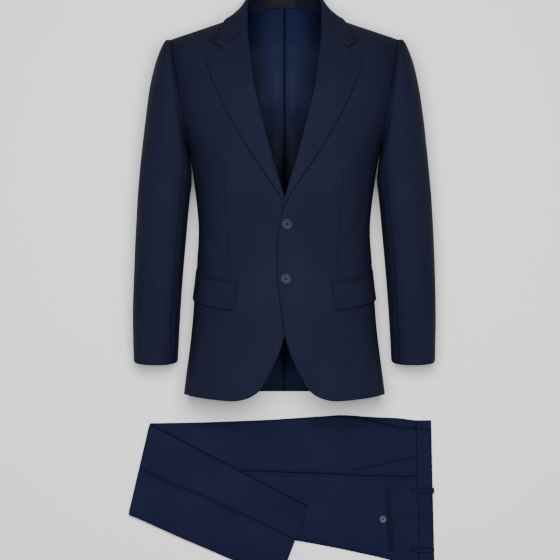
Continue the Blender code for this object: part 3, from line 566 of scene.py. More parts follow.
# ---- cloth in place
class Hand(Enum):
    """The wearer's side that a piece belongs to."""

    LEFT = 1
    RIGHT = -1

    def __str__(self) -> str:
        """Give the side's name, as the nodes have it."""
        return self.name.lower()


class Edge(Flag):
    """The sides of a sheet's grid."""

    NONE = 0
    START = auto()
    END = auto()
    TOP = auto()
    BOTTOM = auto()
    AROUND = START | END | TOP | BOTTOM


class Spot(NamedTuple):
    """A point of the cloth, and where it lies on its garment's chart."""

    point: Vector
    x: float
    y: float


@dataclass(frozen=True)
class Crease:
    """A soft trough between low banks, or a ridge where its depth is negative."""

    start: Pair
    end: Pair
    width: float
    depth: float
    bow: float = 0.0
    fade: float = 0.35
    bank: float = 0.8

    def relief(self, spot: Spot) -> float:
        """Say how much the crease lifts the cloth.

        Args:
            spot: the place.

        Returns:
            The lift, negative in a trough.
        """
        run_x, run_y = self.end[0] - self.start[0], self.end[1] - self.start[1]
        length = math.hypot(run_x, run_y)
        off_x, off_y = spot.x - self.start[0], spot.y - self.start[1]
        share = (off_x * run_x + off_y * run_y) / length ** 2
        if not 0 < share < 1:
            return 0.0
        aside = (off_x * run_y - off_y * run_x) / length - self.bow * hump(share)
        reach = (aside / self.width) ** 2
        ends = smooth(share / self.fade) * smooth((1 - share) / self.fade)
        return -self.depth * ends * (1 - self.bank * reach) * math.exp(-reach)


@dataclass
class Sheet:
    """A cloth piece: a grid put in place, creased, and given its wall."""

    name: str
    node: str
    place: Callable[[float, float], Spot]
    across: Sequence[float]
    down: Sequence[float]
    finish: Finish
    side: int = 1
    wall: float = 1.5
    grow: float = INWARD
    held: str = "laid"
    rests_on: Sequence[str] = ("surface",)
    inside: Optional[Finish] = None
    sewn: Edge = Edge.NONE
    creases: Sequence[Crease] = ()
    wave: float = 0.5
    wave_size: Pair = (75.0, 127.5)
    seed: float = 0.0
    detail: Callable[[Spot], float] = lambda _: 0.0
    seam_depth: float = 0.7
    seam_width: float = 3.2
    tied: float = 24.0
    edge_round: float = 0.45
    tuck: Pair = (1.4, 1.3)
    tucked: Edge = Edge.AROUND
    # painted shade: seam_shade beside sewn edges (top_share of it at the top), rim_shade along the
    # rims, which also roll the edge down for real, and mark wherever a piece paints its own
    seam_shade: float = 0.42
    top_share: float = 1.0
    rim: Edge = Edge.NONE
    rim_depth: float = 0.9
    rim_width: float = 2.8
    rim_shade: float = 0.75
    mark: Callable[[Spot], float] = lambda _: 0.0

    def relief(self, spot: Spot, reaches: Sequence[float]) -> float:
        """Height of the creases, waves and seams at a place.

        Args:
            spot: the place.
            reaches: its distance from each edge, in the order of Edge.

        Returns:
            The height, outward from the cloth's face.
        """
        loose, seams, rolled = 1.0, 0.0, 0.0
        for edge, reach in zip(Edge, reaches):
            if edge in self.sewn:
                loose *= smooth(reach / self.tied)
                seams += self.seam_depth * max(0.0, 1 - reach / self.seam_width) ** 2
            if edge in self.rim:
                rolled = max(rolled, self.rim_depth * max(0.0, 1 - reach / self.rim_width) ** 2)
        height = sum(crease.relief(spot) for crease in self.creases)
        wide, long = self.wave_size
        height += self.wave * noise.noise(Vector((spot.x / wide, spot.y / long, self.seed)))
        return height * loose - seams - rolled + self.detail(spot)

    def shade(self, spot: Spot, reaches: Sequence[float]) -> float:
        """How much painted shade the cloth gets at a place: where its mark says, beside its seams
        and at its rolled edges.

        Args:
            spot: the place.
            reaches: its distance from each edge, in the order of Edge.

        Returns:
            The shade, from 0 to 1.
        """
        dark = self.mark(spot)
        for edge, reach in zip(Edge, reaches):
            if edge in self.sewn:
                strength = self.seam_shade * (self.top_share if edge is Edge.TOP else 1)
                dark = max(dark, strength * (1 - reach / self.seam_width))
            if edge in self.rim:
                dark = max(dark, self.rim_shade * (1 - reach / self.rim_width))
        return min(1.0, max(0.0, dark))

    def build(self) -> bpy.types.Object:
        """Returns:
            The finished piece.
        """
        columns, rows = len(self.across) - 1, len(self.down) - 1
        grid = bmesh.new()
        bmesh.ops.create_grid(grid, x_segments=columns, y_segments=rows, size=0.5)
        painted_shades = grid.verts.layers.float.new(PAINTED_SHADE)
        uv = grid.loops.layers.uv.new("cloth")
        verts, spots = {}, {}
        for vert in grid.verts:
            i, j = round((vert.co.x + 0.5) * columns), round((0.5 - vert.co.y) * rows)
            verts[i, j], spots[i, j] = vert, self.place(self.across[i], self.down[j])
            vert.co = spots[i, j].point
        weft = [[(i, j) for i in range(columns + 1)] for j in range(rows + 1)]
        warp = [list(line) for line in zip(*weft)]
        runs, falls = self.measure(spots, weft), self.measure(spots, warp)
        if self.side < 0:
            bmesh.ops.reverse_faces(grid, faces=grid.faces)
        area = sum(face.calc_area() for face in grid.faces) * MM * MM
        grid.normal_update()
        moved, threads = {}, {}
        for (i, j), vert in verts.items():
            reaches = (runs[i, j], runs[columns, j] - runs[i, j],
                       falls[i, j], falls[i, rows] - falls[i, j])
            moved[vert] = vert.co + vert.normal * self.relief(spots[i, j], reaches)
            moved[vert].z = max(moved[vert].z, 0.0)
            # paint the shade into the point attribute
            vert[painted_shades] = self.shade(spots[i, j], reaches)
            threads[vert] = (runs[i, j] * MM, -falls[i, j] * MM)
        for vert, point in moved.items():
            vert.co = point
            for loop in vert.link_loops:
                loop[uv].uv = threads[vert]
        self.tuck_in(grid, verts, (warp[:2], warp[:-3:-1], weft[:2], weft[:-3:-1]))
        piece = finish_mesh(self.name, grid, self.finish)
        self.add_wall(piece)
        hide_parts(self.node)
        list(self.rests_on)
        return piece

    def tuck_in(self, grid: Mesh, verts: dict[Cell, bmesh.types.BMVert],
                lines: Sequence[Sequence[Sequence[Cell]]]) -> None:
        """Turn the sewn edges in, under the pieces that they are sewn to.

        Args:
            grid: the sheet's mesh.
            verts: its points, by their place in the grid.
            lines: for each edge in the order of Edge, its line of the grid and the next one.
        """
        grid.normal_update()
        pulls, edges = {}, []
        for edge, (line, beside) in zip(Edge, lines):
            if edge not in self.sewn & self.tucked:
                continue
            edges += [grid.edges.get((verts[a], verts[b])) for a, b in zip(line, line[1:])]
            for cell, inner in zip(line, beside):
                pull = (verts[cell].co - verts[inner].co).normalized()
                pulls[verts[cell]] = pulls.get(verts[cell], Vector()) + pull
        reach, depth = self.tuck
        painted_shades = grid.verts.layers.float[PAINTED_SHADE]
        for part in bmesh.ops.extrude_edge_only(grid, edges=edges)["geom"]:
            if isinstance(part, bmesh.types.BMVert):
                old = next(edge.other_vert(part) for edge in part.link_edges
                           if edge.other_vert(part) in pulls)
                part.co = old.co + pulls[old].normalized() * reach - old.normal * depth
                # the turned-in flanges get full painted shade, standing for the dark gap of the
                # seam
                part[painted_shades] = 1.0

    @staticmethod
    def measure(spots: dict[Cell, Spot], lines: Sequence[Sequence[Cell]]) -> dict[Cell, float]:
        """Measure the cloth along its grid lines.

        Args:
            spots: the points, by their place in the grid.
            lines: the places along each grid line.

        Returns:
            The length along its line up to each place.
        """
        lengths = {}
        for line in lines:
            total = 0.0
            for before, cell in zip([line[0], *line], line):
                total += (spots[cell].point - spots[before].point).length
                lengths[cell] = total
        return lengths

    def add_wall(self, piece: bpy.types.Object) -> None:
        """Give the sheet its thickness and soft edges.

        Args:
            piece: the sheet's object.
        """
        shell = piece.modifiers.new("wall", "SOLIDIFY")
        shell.thickness, shell.offset = self.wall * MM, self.grow
        if self.inside:
            piece.data.materials.append(self.inside.material())
            shell.material_offset = 1
        soft = piece.modifiers.new("edges", "BEVEL")
        soft.width, soft.segments = self.edge_round * MM, 2
        soft.limit_method, soft.angle_limit = "ANGLE", math.radians(60)
        soft.harden_normals = True


# ---- the jacket's form
@dataclass(eq=False)
class JacketForm:
    """The surface of the filled-out jacket, as its cut gives it."""

    centre: Pair = (5.6, 521.9)
    neck_half: float = 86.5
    shoulder_slope: float = 1 / 3
    shoulder_point: float = 219.0
    armhole_lean: float = 0.163
    armhole_middle: float = 150.0
    armhole_bottom: float = 256.0
    armhole_front: float = 0.50
    side_height: float = 86.0
    front_round: float = 160.0
    back_round: float = 95.0
    front_power: float = 2.4
    back_power: float = 5.0
    rest_flat: float = 1.0
    back_neck_rise: float = 23.0
    back_neck_height: float = 33.0
    side_seam: float = 0.42
    back_seam: float = 0.74
    seam_share: float = 0.002
    seam_gap: float = 0.15
    shoulder_gap: float = 0.3
    lay_gap: float = 0.6
    front_hem: float = 733.0
    back_hem: float = 724.5
    lap_lift: float = 2.4
    lap_fade: Pair = (25.0, 75.0)
    lap_start: Pair = (300.0, 372.0)
    settling: int = 12
    cell: float = 6.0
    sides: Curve = Curve(
        (256, 185.4), (285, 178.5), (329, 172), (375, 166.5), (406, 164.4), (452, 166.3),
        (498, 169.2), (545, 173), (590, 176.5), (637, 181.7), (683, 188), (722, 193))
    depths: Curve = Curve(
        (-60, 160), (0, 172), (60, 190), (120, 203), (200, 214), (270, 217), (340, 211),
        (400, 203), (460, 199), (540, 200), (620, 203), (733, 206))
    front_edge: Curve = Curve(
        (0, 85), (21, 74), (50, 70), (80, 67), (144, 58), (202, 44), (275, 25), (342, 5),
        (387, -7), (433, -14), (482, -15.5), (528, -12), (570, -6), (612, 0), (646, 11),
        (680, 26), (706, 41.2), (714, 48))
    front_hemline: Curve = Curve(
        (40, 706), (48, 714), (53.5, 718.9), (64, 725.2), (78, 730.2), (96, 732.9),
        (135, 730.7), (170, 727), (193, 724.5))

    def __post_init__(self) -> None:
        """Work out where the seams beside the side bodies start."""
        self.armhole_top = (self.shoulder_point - self.neck_half) * self.shoulder_slope
        self.side_seam_share = (math.acos(self.side_seam ** (self.front_power / 2))
                                / (math.pi / 2))
        self.side_seam_top = self.armhole_drop(self.side_seam)
        self.back_reach = root_of(self.back_seam, self.back_power)
        self.back_seam_top = self.armhole_drop(root_of(self.back_reach, self.front_power))

    def shoulder_drop(self, x: float) -> float:
        """Drop of the shoulder seam."""
        return (abs(x) - self.neck_half) * self.shoulder_slope

    def armhole_x(self, drop: float) -> float:
        """How far out the armhole lies."""
        return self.shoulder_point - self.armhole_lean * (drop - self.armhole_top)

    def armhole_share(self, drop: float) -> float:
        """Height of the armhole's front edge, as a share of the front's."""
        reach = (drop - self.armhole_middle) / (self.armhole_bottom - self.armhole_middle)
        return self.armhole_front * root_of(min(1.0, max(0.0, reach)), 2)

    def armhole_drop(self, share: float) -> float:
        """Drop of the armhole's lower half, at a height that is a share of the front's."""
        reach = root_of(min(1.0, share / self.armhole_front), 2)
        return mix(self.armhole_middle, self.armhole_bottom, reach)

    def half_width(self, drop: float) -> float:
        """Half the body's width, carried on above the armhole's foot."""
        above = self.armhole_x(drop) / root_of(self.armhole_share(drop), self.front_power)
        return above if drop < self.armhole_bottom else self.sides.at(drop)

    def front_height(self, x: float, drop: float) -> float:
        """Height of the front's outer face.

        Args:
            x: distance out from the centre line.
            drop: distance down from the neck.

        Returns:
            The height over the surface that the jacket lies on.
        """
        level = root_of(x / self.half_width(drop), self.front_power)
        over = rounding((drop - self.shoulder_drop(x)) / self.front_round)
        return self.side_height + (self.depths.at(drop) - self.side_height) * level * over

    def neck_arc(self, x: float) -> float:
        """Share of the back neckline's rise."""
        return root_of(min(1.0, abs(x) / self.neck_half), 2)

    def back_top(self, x: float) -> float:
        """Drop of the back's upper edge: neckline, then shoulder seam."""
        neckline = -self.back_neck_rise * self.neck_arc(x)
        return neckline if abs(x) < self.neck_half else self.shoulder_drop(x)

    def back_height(self, x: float, drop: float) -> float:
        """Height of the back's outer face, which is flat where it rests.

        Args:
            x: distance out from the centre line.
            drop: distance down from the neck.

        Returns:
            The height over the surface that the jacket lies on.
        """
        arc = self.neck_arc(x)
        top = mix(self.side_height, self.back_neck_height, arc)
        share = min(1.0, max(0.0, (drop - self.back_top(x)) / self.back_round))
        over = mix(rounding(share), 1 - (1 - share) ** 2, arc)
        height = top * (1 - over * root_of(x / self.half_width(drop), self.back_power))
        return max(0.0, height - self.rest_flat * (1 - height / self.side_height))

    def point(self, side: int, x: float, drop: float, height: float) -> Vector:
        """Give a point in the part's frame."""
        return Vector((self.centre[0] + side * x, self.centre[1] - drop, height))

    def lap(self, side: int, x: float, drop: float) -> float:
        """Lift of the left front where it laps over the right one.

        Args:
            side: the front's side.
            x: distance out from the centre line.
            drop: distance down from the neck.

        Returns:
            The lift, which is nothing on the right front.
        """
        low, high = self.lap_fade
        start, full = self.lap_start
        across = 1 - smooth((x - low) / (high - low))
        down = smooth((drop - start) / (full - start))
        return self.lap_lift * across * down if side > 0 else 0.0

    def chest(self, side: int, x: float, drop: float, lift: float = 0.0,
              step: float = 0.5) -> Vector:
        """A point over the outer face of a front.

        Args:
            side: the front's side.
            x: distance out from the centre line.
            drop: distance down from the neck.
            lift: how far over the face it lies, along the face's normal.
            step: the distance over which the normal is taken.

        Returns:
            The point in the part's frame.
        """
        def at(away: float, down: float) -> Vector:
            """A point of the face."""
            height = self.front_height(away, down) + self.lap(side, away, down)
            return self.point(side, away, down, height)

        place = at(x, drop)
        if not lift:
            return place
        out = at(x + step, drop) - at(x - step, drop)
        down = at(x, drop + step) - at(x, drop - step)
        return place + down.cross(out).normalized() * side * lift

    def front_x(self, share: float, drop: float) -> float:
        """x on the front at a share of a quarter of its section."""
        reach = abs(math.sin(share * math.pi / 2)) ** (2 / self.front_power)
        return math.copysign(reach * self.half_width(drop), share)

    def front_share(self, x: float, drop: float) -> float:
        """The share of a quarter of the section at which x lies."""
        reach = min(1.0, abs(x) / self.half_width(drop))
        return math.copysign(math.asin(reach ** (self.front_power / 2)) / (math.pi / 2), x)

    def inside_back(self, side: int, x: float, drop: float, lift: float,
                    step: float = 1.0) -> Vector:
        """A point inside the back.

        Args:
            side: the side of the back.
            x: distance out from the centre line.
            drop: distance down from the neck.
            lift: how far over the back's outer face it lies.
            step: the distance over which the face's slope is taken.

        Returns:
            The point in the part's frame.
        """
        height = self.back_height(x, drop)
        out = (self.back_height(x + step, drop) - height) / step
        down = (self.back_height(x, drop + step) - height) / step
        inward = Vector((-out * side, down, 1.0)).normalized()
        return self.point(side, x, drop, height) + inward * lift


class Rows:
    """Shares of a length whose first stretch is rounded over."""

    def __init__(self, total: float, rounded: float, rise: float, longer: float = 1.2) -> None:
        """Work out how much cloth the rounding takes.

        Args:
            total: the whole length.
            rounded: the stretch that rounds over.
            rise: how much it rises or falls there.
            longer: how much longer than its chord the rounding is.
        """
        self.rounded = rounded / total
        self.length = total - rounded + longer * math.hypot(rounded, rise)
        self.bend = 1 - (total - rounded) / self.length

    def share(self, down: float) -> float:
        """Share of the length at a share of the cloth, which is longer over the rounding."""
        over = self.rounded * (1 - math.cos(math.pi / 2 * down / self.bend))
        below = mix(self.rounded, 1.0, (down - self.bend) / (1 - self.bend))
        return over if down < self.bend else below


FORM = JacketForm()


@dataclass
class JacketBody:
    """The jacket's fronts, sides and back."""

    form: JacketForm = FORM
    front_width: float = 235.0
    side_width: float = 120.0
    side_length: float = 470.0
    back_width: float = 220.0
    neck: float = 4 / 9
    dart_share: float = 0.52
    dart_width: float = 1.1
    dart_depth: float = 0.9
    dart_shade: float = 0.2
    dart: Curve = Curve((0, 132), (273, 118), (400, 111), (515, 104), (733, 100))
    dart_ends: Pair = (268.0, 512.0)
    dart_fades: Pair = (60.0, 12.0)
    dart_shift: float = -5.0
    tip: float = 1.3
    tip_length: float = 30.0
    creases: dict[Hand, Sequence[Crease]] = field(default_factory=lambda: {
        Hand.LEFT: (
            Crease((176, 330), (88, 470), 15, 2.6, 10), Crease((172, 392), (116, 478), 10, 1.3),
            Crease((160, 205), (40, 372), 24, -1.4, 14), Crease((128, 250), (62, 345), 13, 0.8),
            Crease((150, 580), (128, 735), 17, 1.5, -6), Crease((92, 590), (84, 740), 14, -1.0),
            Crease((30, 420), (92, 520), 12, 0.7, 6)),
        Hand.RIGHT: (
            Crease((178, 352), (104, 476), 12, 1.9, 8), Crease((174, 420), (124, 486), 9, -1.0),
            Crease((166, 190), (48, 360), 21, 1.2, -12), Crease((140, 225), (80, 330), 15, -1.0),
            Crease((146, 560), (136, 735), 15, 1.3, 7), Crease((70, 600), (78, 738), 16, -1.1),
            Crease((24, 412), (70, 500), 11, 0.8, -5))})
    side_creases: Sequence[Crease] = (
        Crease((40, 300), (92, 470), 15, 1.8, 8), Crease((88, 420), (30, 560), 13, -1.2),
        Crease((60, 590), (66, 725), 14, 1.2, -4))
    back_creases: Sequence[Crease] = (
        Crease((168, 300), (96, 380), 13, 1.1, 6), Crease((150, 520), (140, 725), 16, -1.2, 5),
        Crease((150, 40), (186, 210), 12, 1.0, -6))

    def build(self) -> None:
        """Make the panels of both hands."""
        for hand in Hand:
            for panel in (self.front, self.side, self.back):
                panel(hand).build()

    def front(self, hand: Hand) -> Sheet:
        """One front, from its edge round to the side seam, with its dart.

        Args:
            hand: the side that it is on.

        Returns:
            The front.
        """
        form = self.form
        rows = Rows(form.front_hem, form.front_round, form.side_height)

        def dart_x(drop: float) -> float:
            """x of the dart's line."""
            return self.dart.at(drop) + (self.dart_shift if hand is Hand.LEFT else 0.0)

        def outer_share(drop: float) -> float:
            """Share of the section at which the front ends."""
            if drop >= form.side_seam_top:
                return form.side_seam_share
            tip = self.tip * (1 - smooth((drop - form.armhole_top) / self.tip_length))
            return form.front_share(form.armhole_x(drop) - form.seam_gap - tip, drop)

        def place(across: float, down: float) -> Spot:
            """Place a point of the grid."""
            share, x = rows.share(down), 0.0
            drop = form.front_hem * share
            for _ in range(form.settling):
                dart = form.front_share(dart_x(drop), drop)
                if across < self.dart_share:
                    inner = form.front_share(form.front_edge.at(drop), drop)
                    turn = mix(inner, dart, across / self.dart_share)
                else:
                    beyond = (across - self.dart_share) / (1 - self.dart_share)
                    turn = mix(dart, outer_share(drop), beyond)
                x = form.front_x(turn, drop)
                drop = mix(form.shoulder_drop(x), form.front_hemline.at(x), share)
            point = form.chest(hand.value, x, drop)
            point.z = max(point.z, form.side_height + form.shoulder_gap / 2)
            return Spot(point, x, drop)

        def dip(spot: Spot) -> float:
            """How much of the dart's dip a spot has."""
            (start, end), (first, last) = self.dart_ends, self.dart_fades
            fade = smooth((spot.y - start) / first) * smooth((end - spot.y) / last)
            return fade * math.exp(-((spot.x - dart_x(spot.y)) / self.dart_width) ** 2)

        # the mark paints shade along the dart's line besides its real dip; the rolled front edge
        # and hem and the sewn edges get painted shade too
        return Sheet(
            f"front_{hand}", f"jacket_front_{hand}", place,
            grid_lines(self.front_width, form.cell, (0, self.dart_share, 1), (1.0, 2.6)),
            grid_lines(rows.length, form.cell), SUITING, hand.value, inside=LINING,
            sewn=Edge.TOP | Edge.END, creases=self.creases[hand], wave=1.0,
            seed=3.7 * hand.value, detail=lambda spot: -self.dart_depth * dip(spot),
            rim=Edge.START | Edge.BOTTOM, mark=lambda spot: self.dart_shade * dip(spot))

    def side(self, hand: Hand) -> Sheet:
        """The side body, from the front's seam round under the arm to the back's.

        Args:
            hand: the side that it is on.

        Returns:
            The side body.
        """
        form = self.form

        def place(across: float, down: float) -> Spot:
            """Place a point of the grid."""
            if across < 0.5:
                share = inside = (form.side_seam - form.seam_share) * (1 - across / 0.5)
                reach = math.sin(math.acos(share ** (form.front_power / 2)))
                reach **= 2 / form.front_power
            else:
                share = (form.back_seam - form.seam_share) * (across - 0.5) / 0.5
                reach = root_of(share, form.back_power)
                inside = root_of(reach, form.front_power)
            drop = mix(form.armhole_drop(inside) + form.seam_gap, form.back_hem, down)
            x = form.half_width(drop) * reach
            height = (mix(form.side_height, form.depths.at(drop), share) if across < 0.5
                      else form.back_height(x, drop))
            return Spot(form.point(hand.value, x, drop, height), height, drop)

        return Sheet(
            f"side_{hand}", f"jacket_side_{hand}", place, grid_lines(self.side_width, form.cell),
            grid_lines(self.side_length, form.cell), SUITING, hand.value, inside=LINING,
            sewn=Edge.TOP | Edge.START | Edge.END, creases=self.side_creases, wave=0.8,
            seed=5.1 * hand.value)

    def back_spot(self, column: float, share: float) -> Pair:
        """Settle a point of the back.

        Args:
            column: share of the way from the centre to the side seam.
            share: share of the way down.

        Returns:
            Its x and drop.
        """
        form, neck = self.form, self.neck
        x, drop = 0.0, form.back_hem * share
        for _ in range(form.settling):
            if drop < form.back_seam_top:
                outer = form.armhole_x(drop) - form.seam_gap
            else:
                outer = form.half_width(drop) * form.back_reach
            if column <= neck:
                x = max(form.neck_half * math.sin(math.pi / 2 * column / neck), form.seam_gap)
            else:
                x = mix(form.neck_half, outer, (column - neck) / (1 - neck))
            drop = mix(form.back_top(x), form.back_hem, share)
        return x, drop

    def back(self, hand: Hand) -> Sheet:
        """One half of the back, which rests on the surface.

        Args:
            hand: the side that it is on.

        Returns:
            The half.
        """
        form = self.form
        rows = Rows(form.back_hem, form.back_round, form.side_height)

        def place(across: float, down: float) -> Spot:
            """Place a point of the grid."""
            x, drop = self.back_spot(across, rows.share(down))
            height = min(form.back_height(x, drop), form.side_height - form.shoulder_gap / 2)
            return Spot(form.point(hand.value, x, drop, height), x, drop)

        return Sheet(
            f"back_{hand}", f"jacket_back_{hand}", place, grid_lines(self.back_width, form.cell),
            grid_lines(rows.length, form.cell), SUITING, -hand.value, inside=LINING,
            sewn=Edge.TOP | Edge.END | Edge.START, creases=self.back_creases, wave=0.6,
            seed=8.3 * hand.value, tucked=Edge.START | Edge.END)


@dataclass
class Lining:
    """What shows inside the back: its lining, and its hem turned up below it.

    A painted shade is how strong it gets, where it starts and over what distance it grows.
    """

    body: JacketBody
    wall: float = 1.0
    outer_wall: float = 1.5
    gap: float = 0.7
    width: float = 125.0
    length: float = 700.0
    cell: Pair = (5.0, 6.0)
    hem: float = 712.0
    first: float = 0.0004
    fades: Pair = (40.0, 60.0)
    over_facing: Triple = (0.9, 686.0, 12.0)
    # painted shade: darker deeper inside the back (dusk), less of it towards the hem (dawn),
    # darker away from the centre (aside)
    dusk: Triple = (0.85, 110.0, 200.0)
    dawn: Triple = (0.95, 430.0, 190.0)
    aside: Triple = (0.5, 20.0, 42.0)
    columns: float = 6 / 9
    pleat_depth: float = 0.42
    pleat_width: float = 3.2
    pleat_shade: float = 0.8
    bank: float = 3.0
    bank_place: float = 17.0
    bank_width: float = 13.0
    facing_top: float = 701.5
    facing_width: float = 130.0
    facing_depth: float = 20.0
    creases: Sequence[Crease] = (
        Crease((40, 60), (60, 330), 12, -1.6, 9), Crease((22, 240), (34, 520), 9, -1.2),
        Crease((66, -10), (46, 180), 10, 1.1, -6), Crease((80, 380), (58, 640), 14, -1.4))

    def build(self) -> None:
        """Make both halves of the lining and of the facing."""
        for hand in Hand:
            self.half(hand).build()
            self.facing(hand).build()

    def half(self, hand: Hand) -> Sheet:
        """Half of the lining, with half of its centre pleat.

        Args:
            hand: the side that it is on.

        Returns:
            The half.
        """
        form, side = self.body.form, hand.value
        rows = Rows(form.back_hem, form.back_round, form.back_neck_height)

        def place(across: float, down: float) -> Spot:
            """Place a point of the grid."""
            share = mix(self.first, self.hem / form.back_hem, rows.share(down))
            x, drop = self.body.back_spot(across * self.columns, share)
            return Spot(form.inside_back(side, x, drop, self.outer_wall + self.gap), x, drop)

        def grown(shade: Triple, reach: float) -> float:
            """A shade's strength at a reach."""
            strength, start, length = shade
            return strength * smooth((reach - start) / length)

        def detail(spot: Spot) -> float:
            """Height of the bank and the pleat."""
            first, last = self.fades
            fade = smooth((spot.y + first / 2) / first) * smooth((self.hem - spot.y) / last)
            bank = self.bank * math.exp(-((spot.x - self.bank_place) / self.bank_width) ** 2)
            pleat = self.pleat_depth * math.exp(-(spot.x / self.pleat_width) ** 2)
            return fade * bank + grown(self.over_facing, spot.y) - pleat

        def mark(spot: Spot) -> float:
            """Painted shade along the pleat, deeper inside the back and towards its sides, and
            less of it near the hem.
            """
            pleat = self.pleat_shade * max(0.0, 1 - spot.x / self.pleat_width)
            dusk, dawn = grown(self.dusk, spot.y), grown(self.dawn, spot.y)
            return max(pleat * (1 - dawn / 2), max(dusk, grown(self.aside, spot.x)) * (1 - dawn))

        return Sheet(
            f"lining_{hand}", f"back_lining_{hand}", place, grid_lines(self.width, self.cell[0]),
            grid_lines(self.length, self.cell[1]), LINING, side, self.wall, OUTWARD,
            rests_on=[f"back_{hand}"], creases=self.creases, wave=0.8, seed=2.2 + side,
            detail=detail, sewn=Edge.TOP | Edge.START, seam_depth=0.6, seam_width=2.0,
            tied=10.0, tucked=Edge.START, tuck=(0.08, 1.1), mark=mark)

    def facing(self, hand: Hand) -> Sheet:
        """Half of the hem that is turned up inside the back.

        Args:
            hand: the side that it is on.

        Returns:
            The half.
        """
        form = self.body.form

        def place(across: float, down: float) -> Spot:
            """Place a point of the grid."""
            x = max(self.facing_width * across, form.seam_gap)
            drop = mix(self.facing_top, form.back_hem, down)
            lift = self.outer_wall + form.seam_gap
            return Spot(form.inside_back(hand.value, x, drop, lift), x, drop)

        return Sheet(
            f"hem_facing_{hand}", f"back_hem_facing_{hand}", place,
            grid_lines(self.facing_width, self.cell[1]), grid_lines(self.facing_depth, 4.0),
            SUITING, hand.value, self.wall, OUTWARD, rests_on=[f"back_{hand}"], wave=0.1,
            sewn=Edge.START, seam_depth=0.3)


# ---- sleeves
class Ring(NamedTuple):
    """A sleeve's ring: its outermost and innermost points, and its lowest and highest."""

    outer_x: float
    outer_drop: float
    inner_x: float
    inner_drop: float
    low: float
    high: float


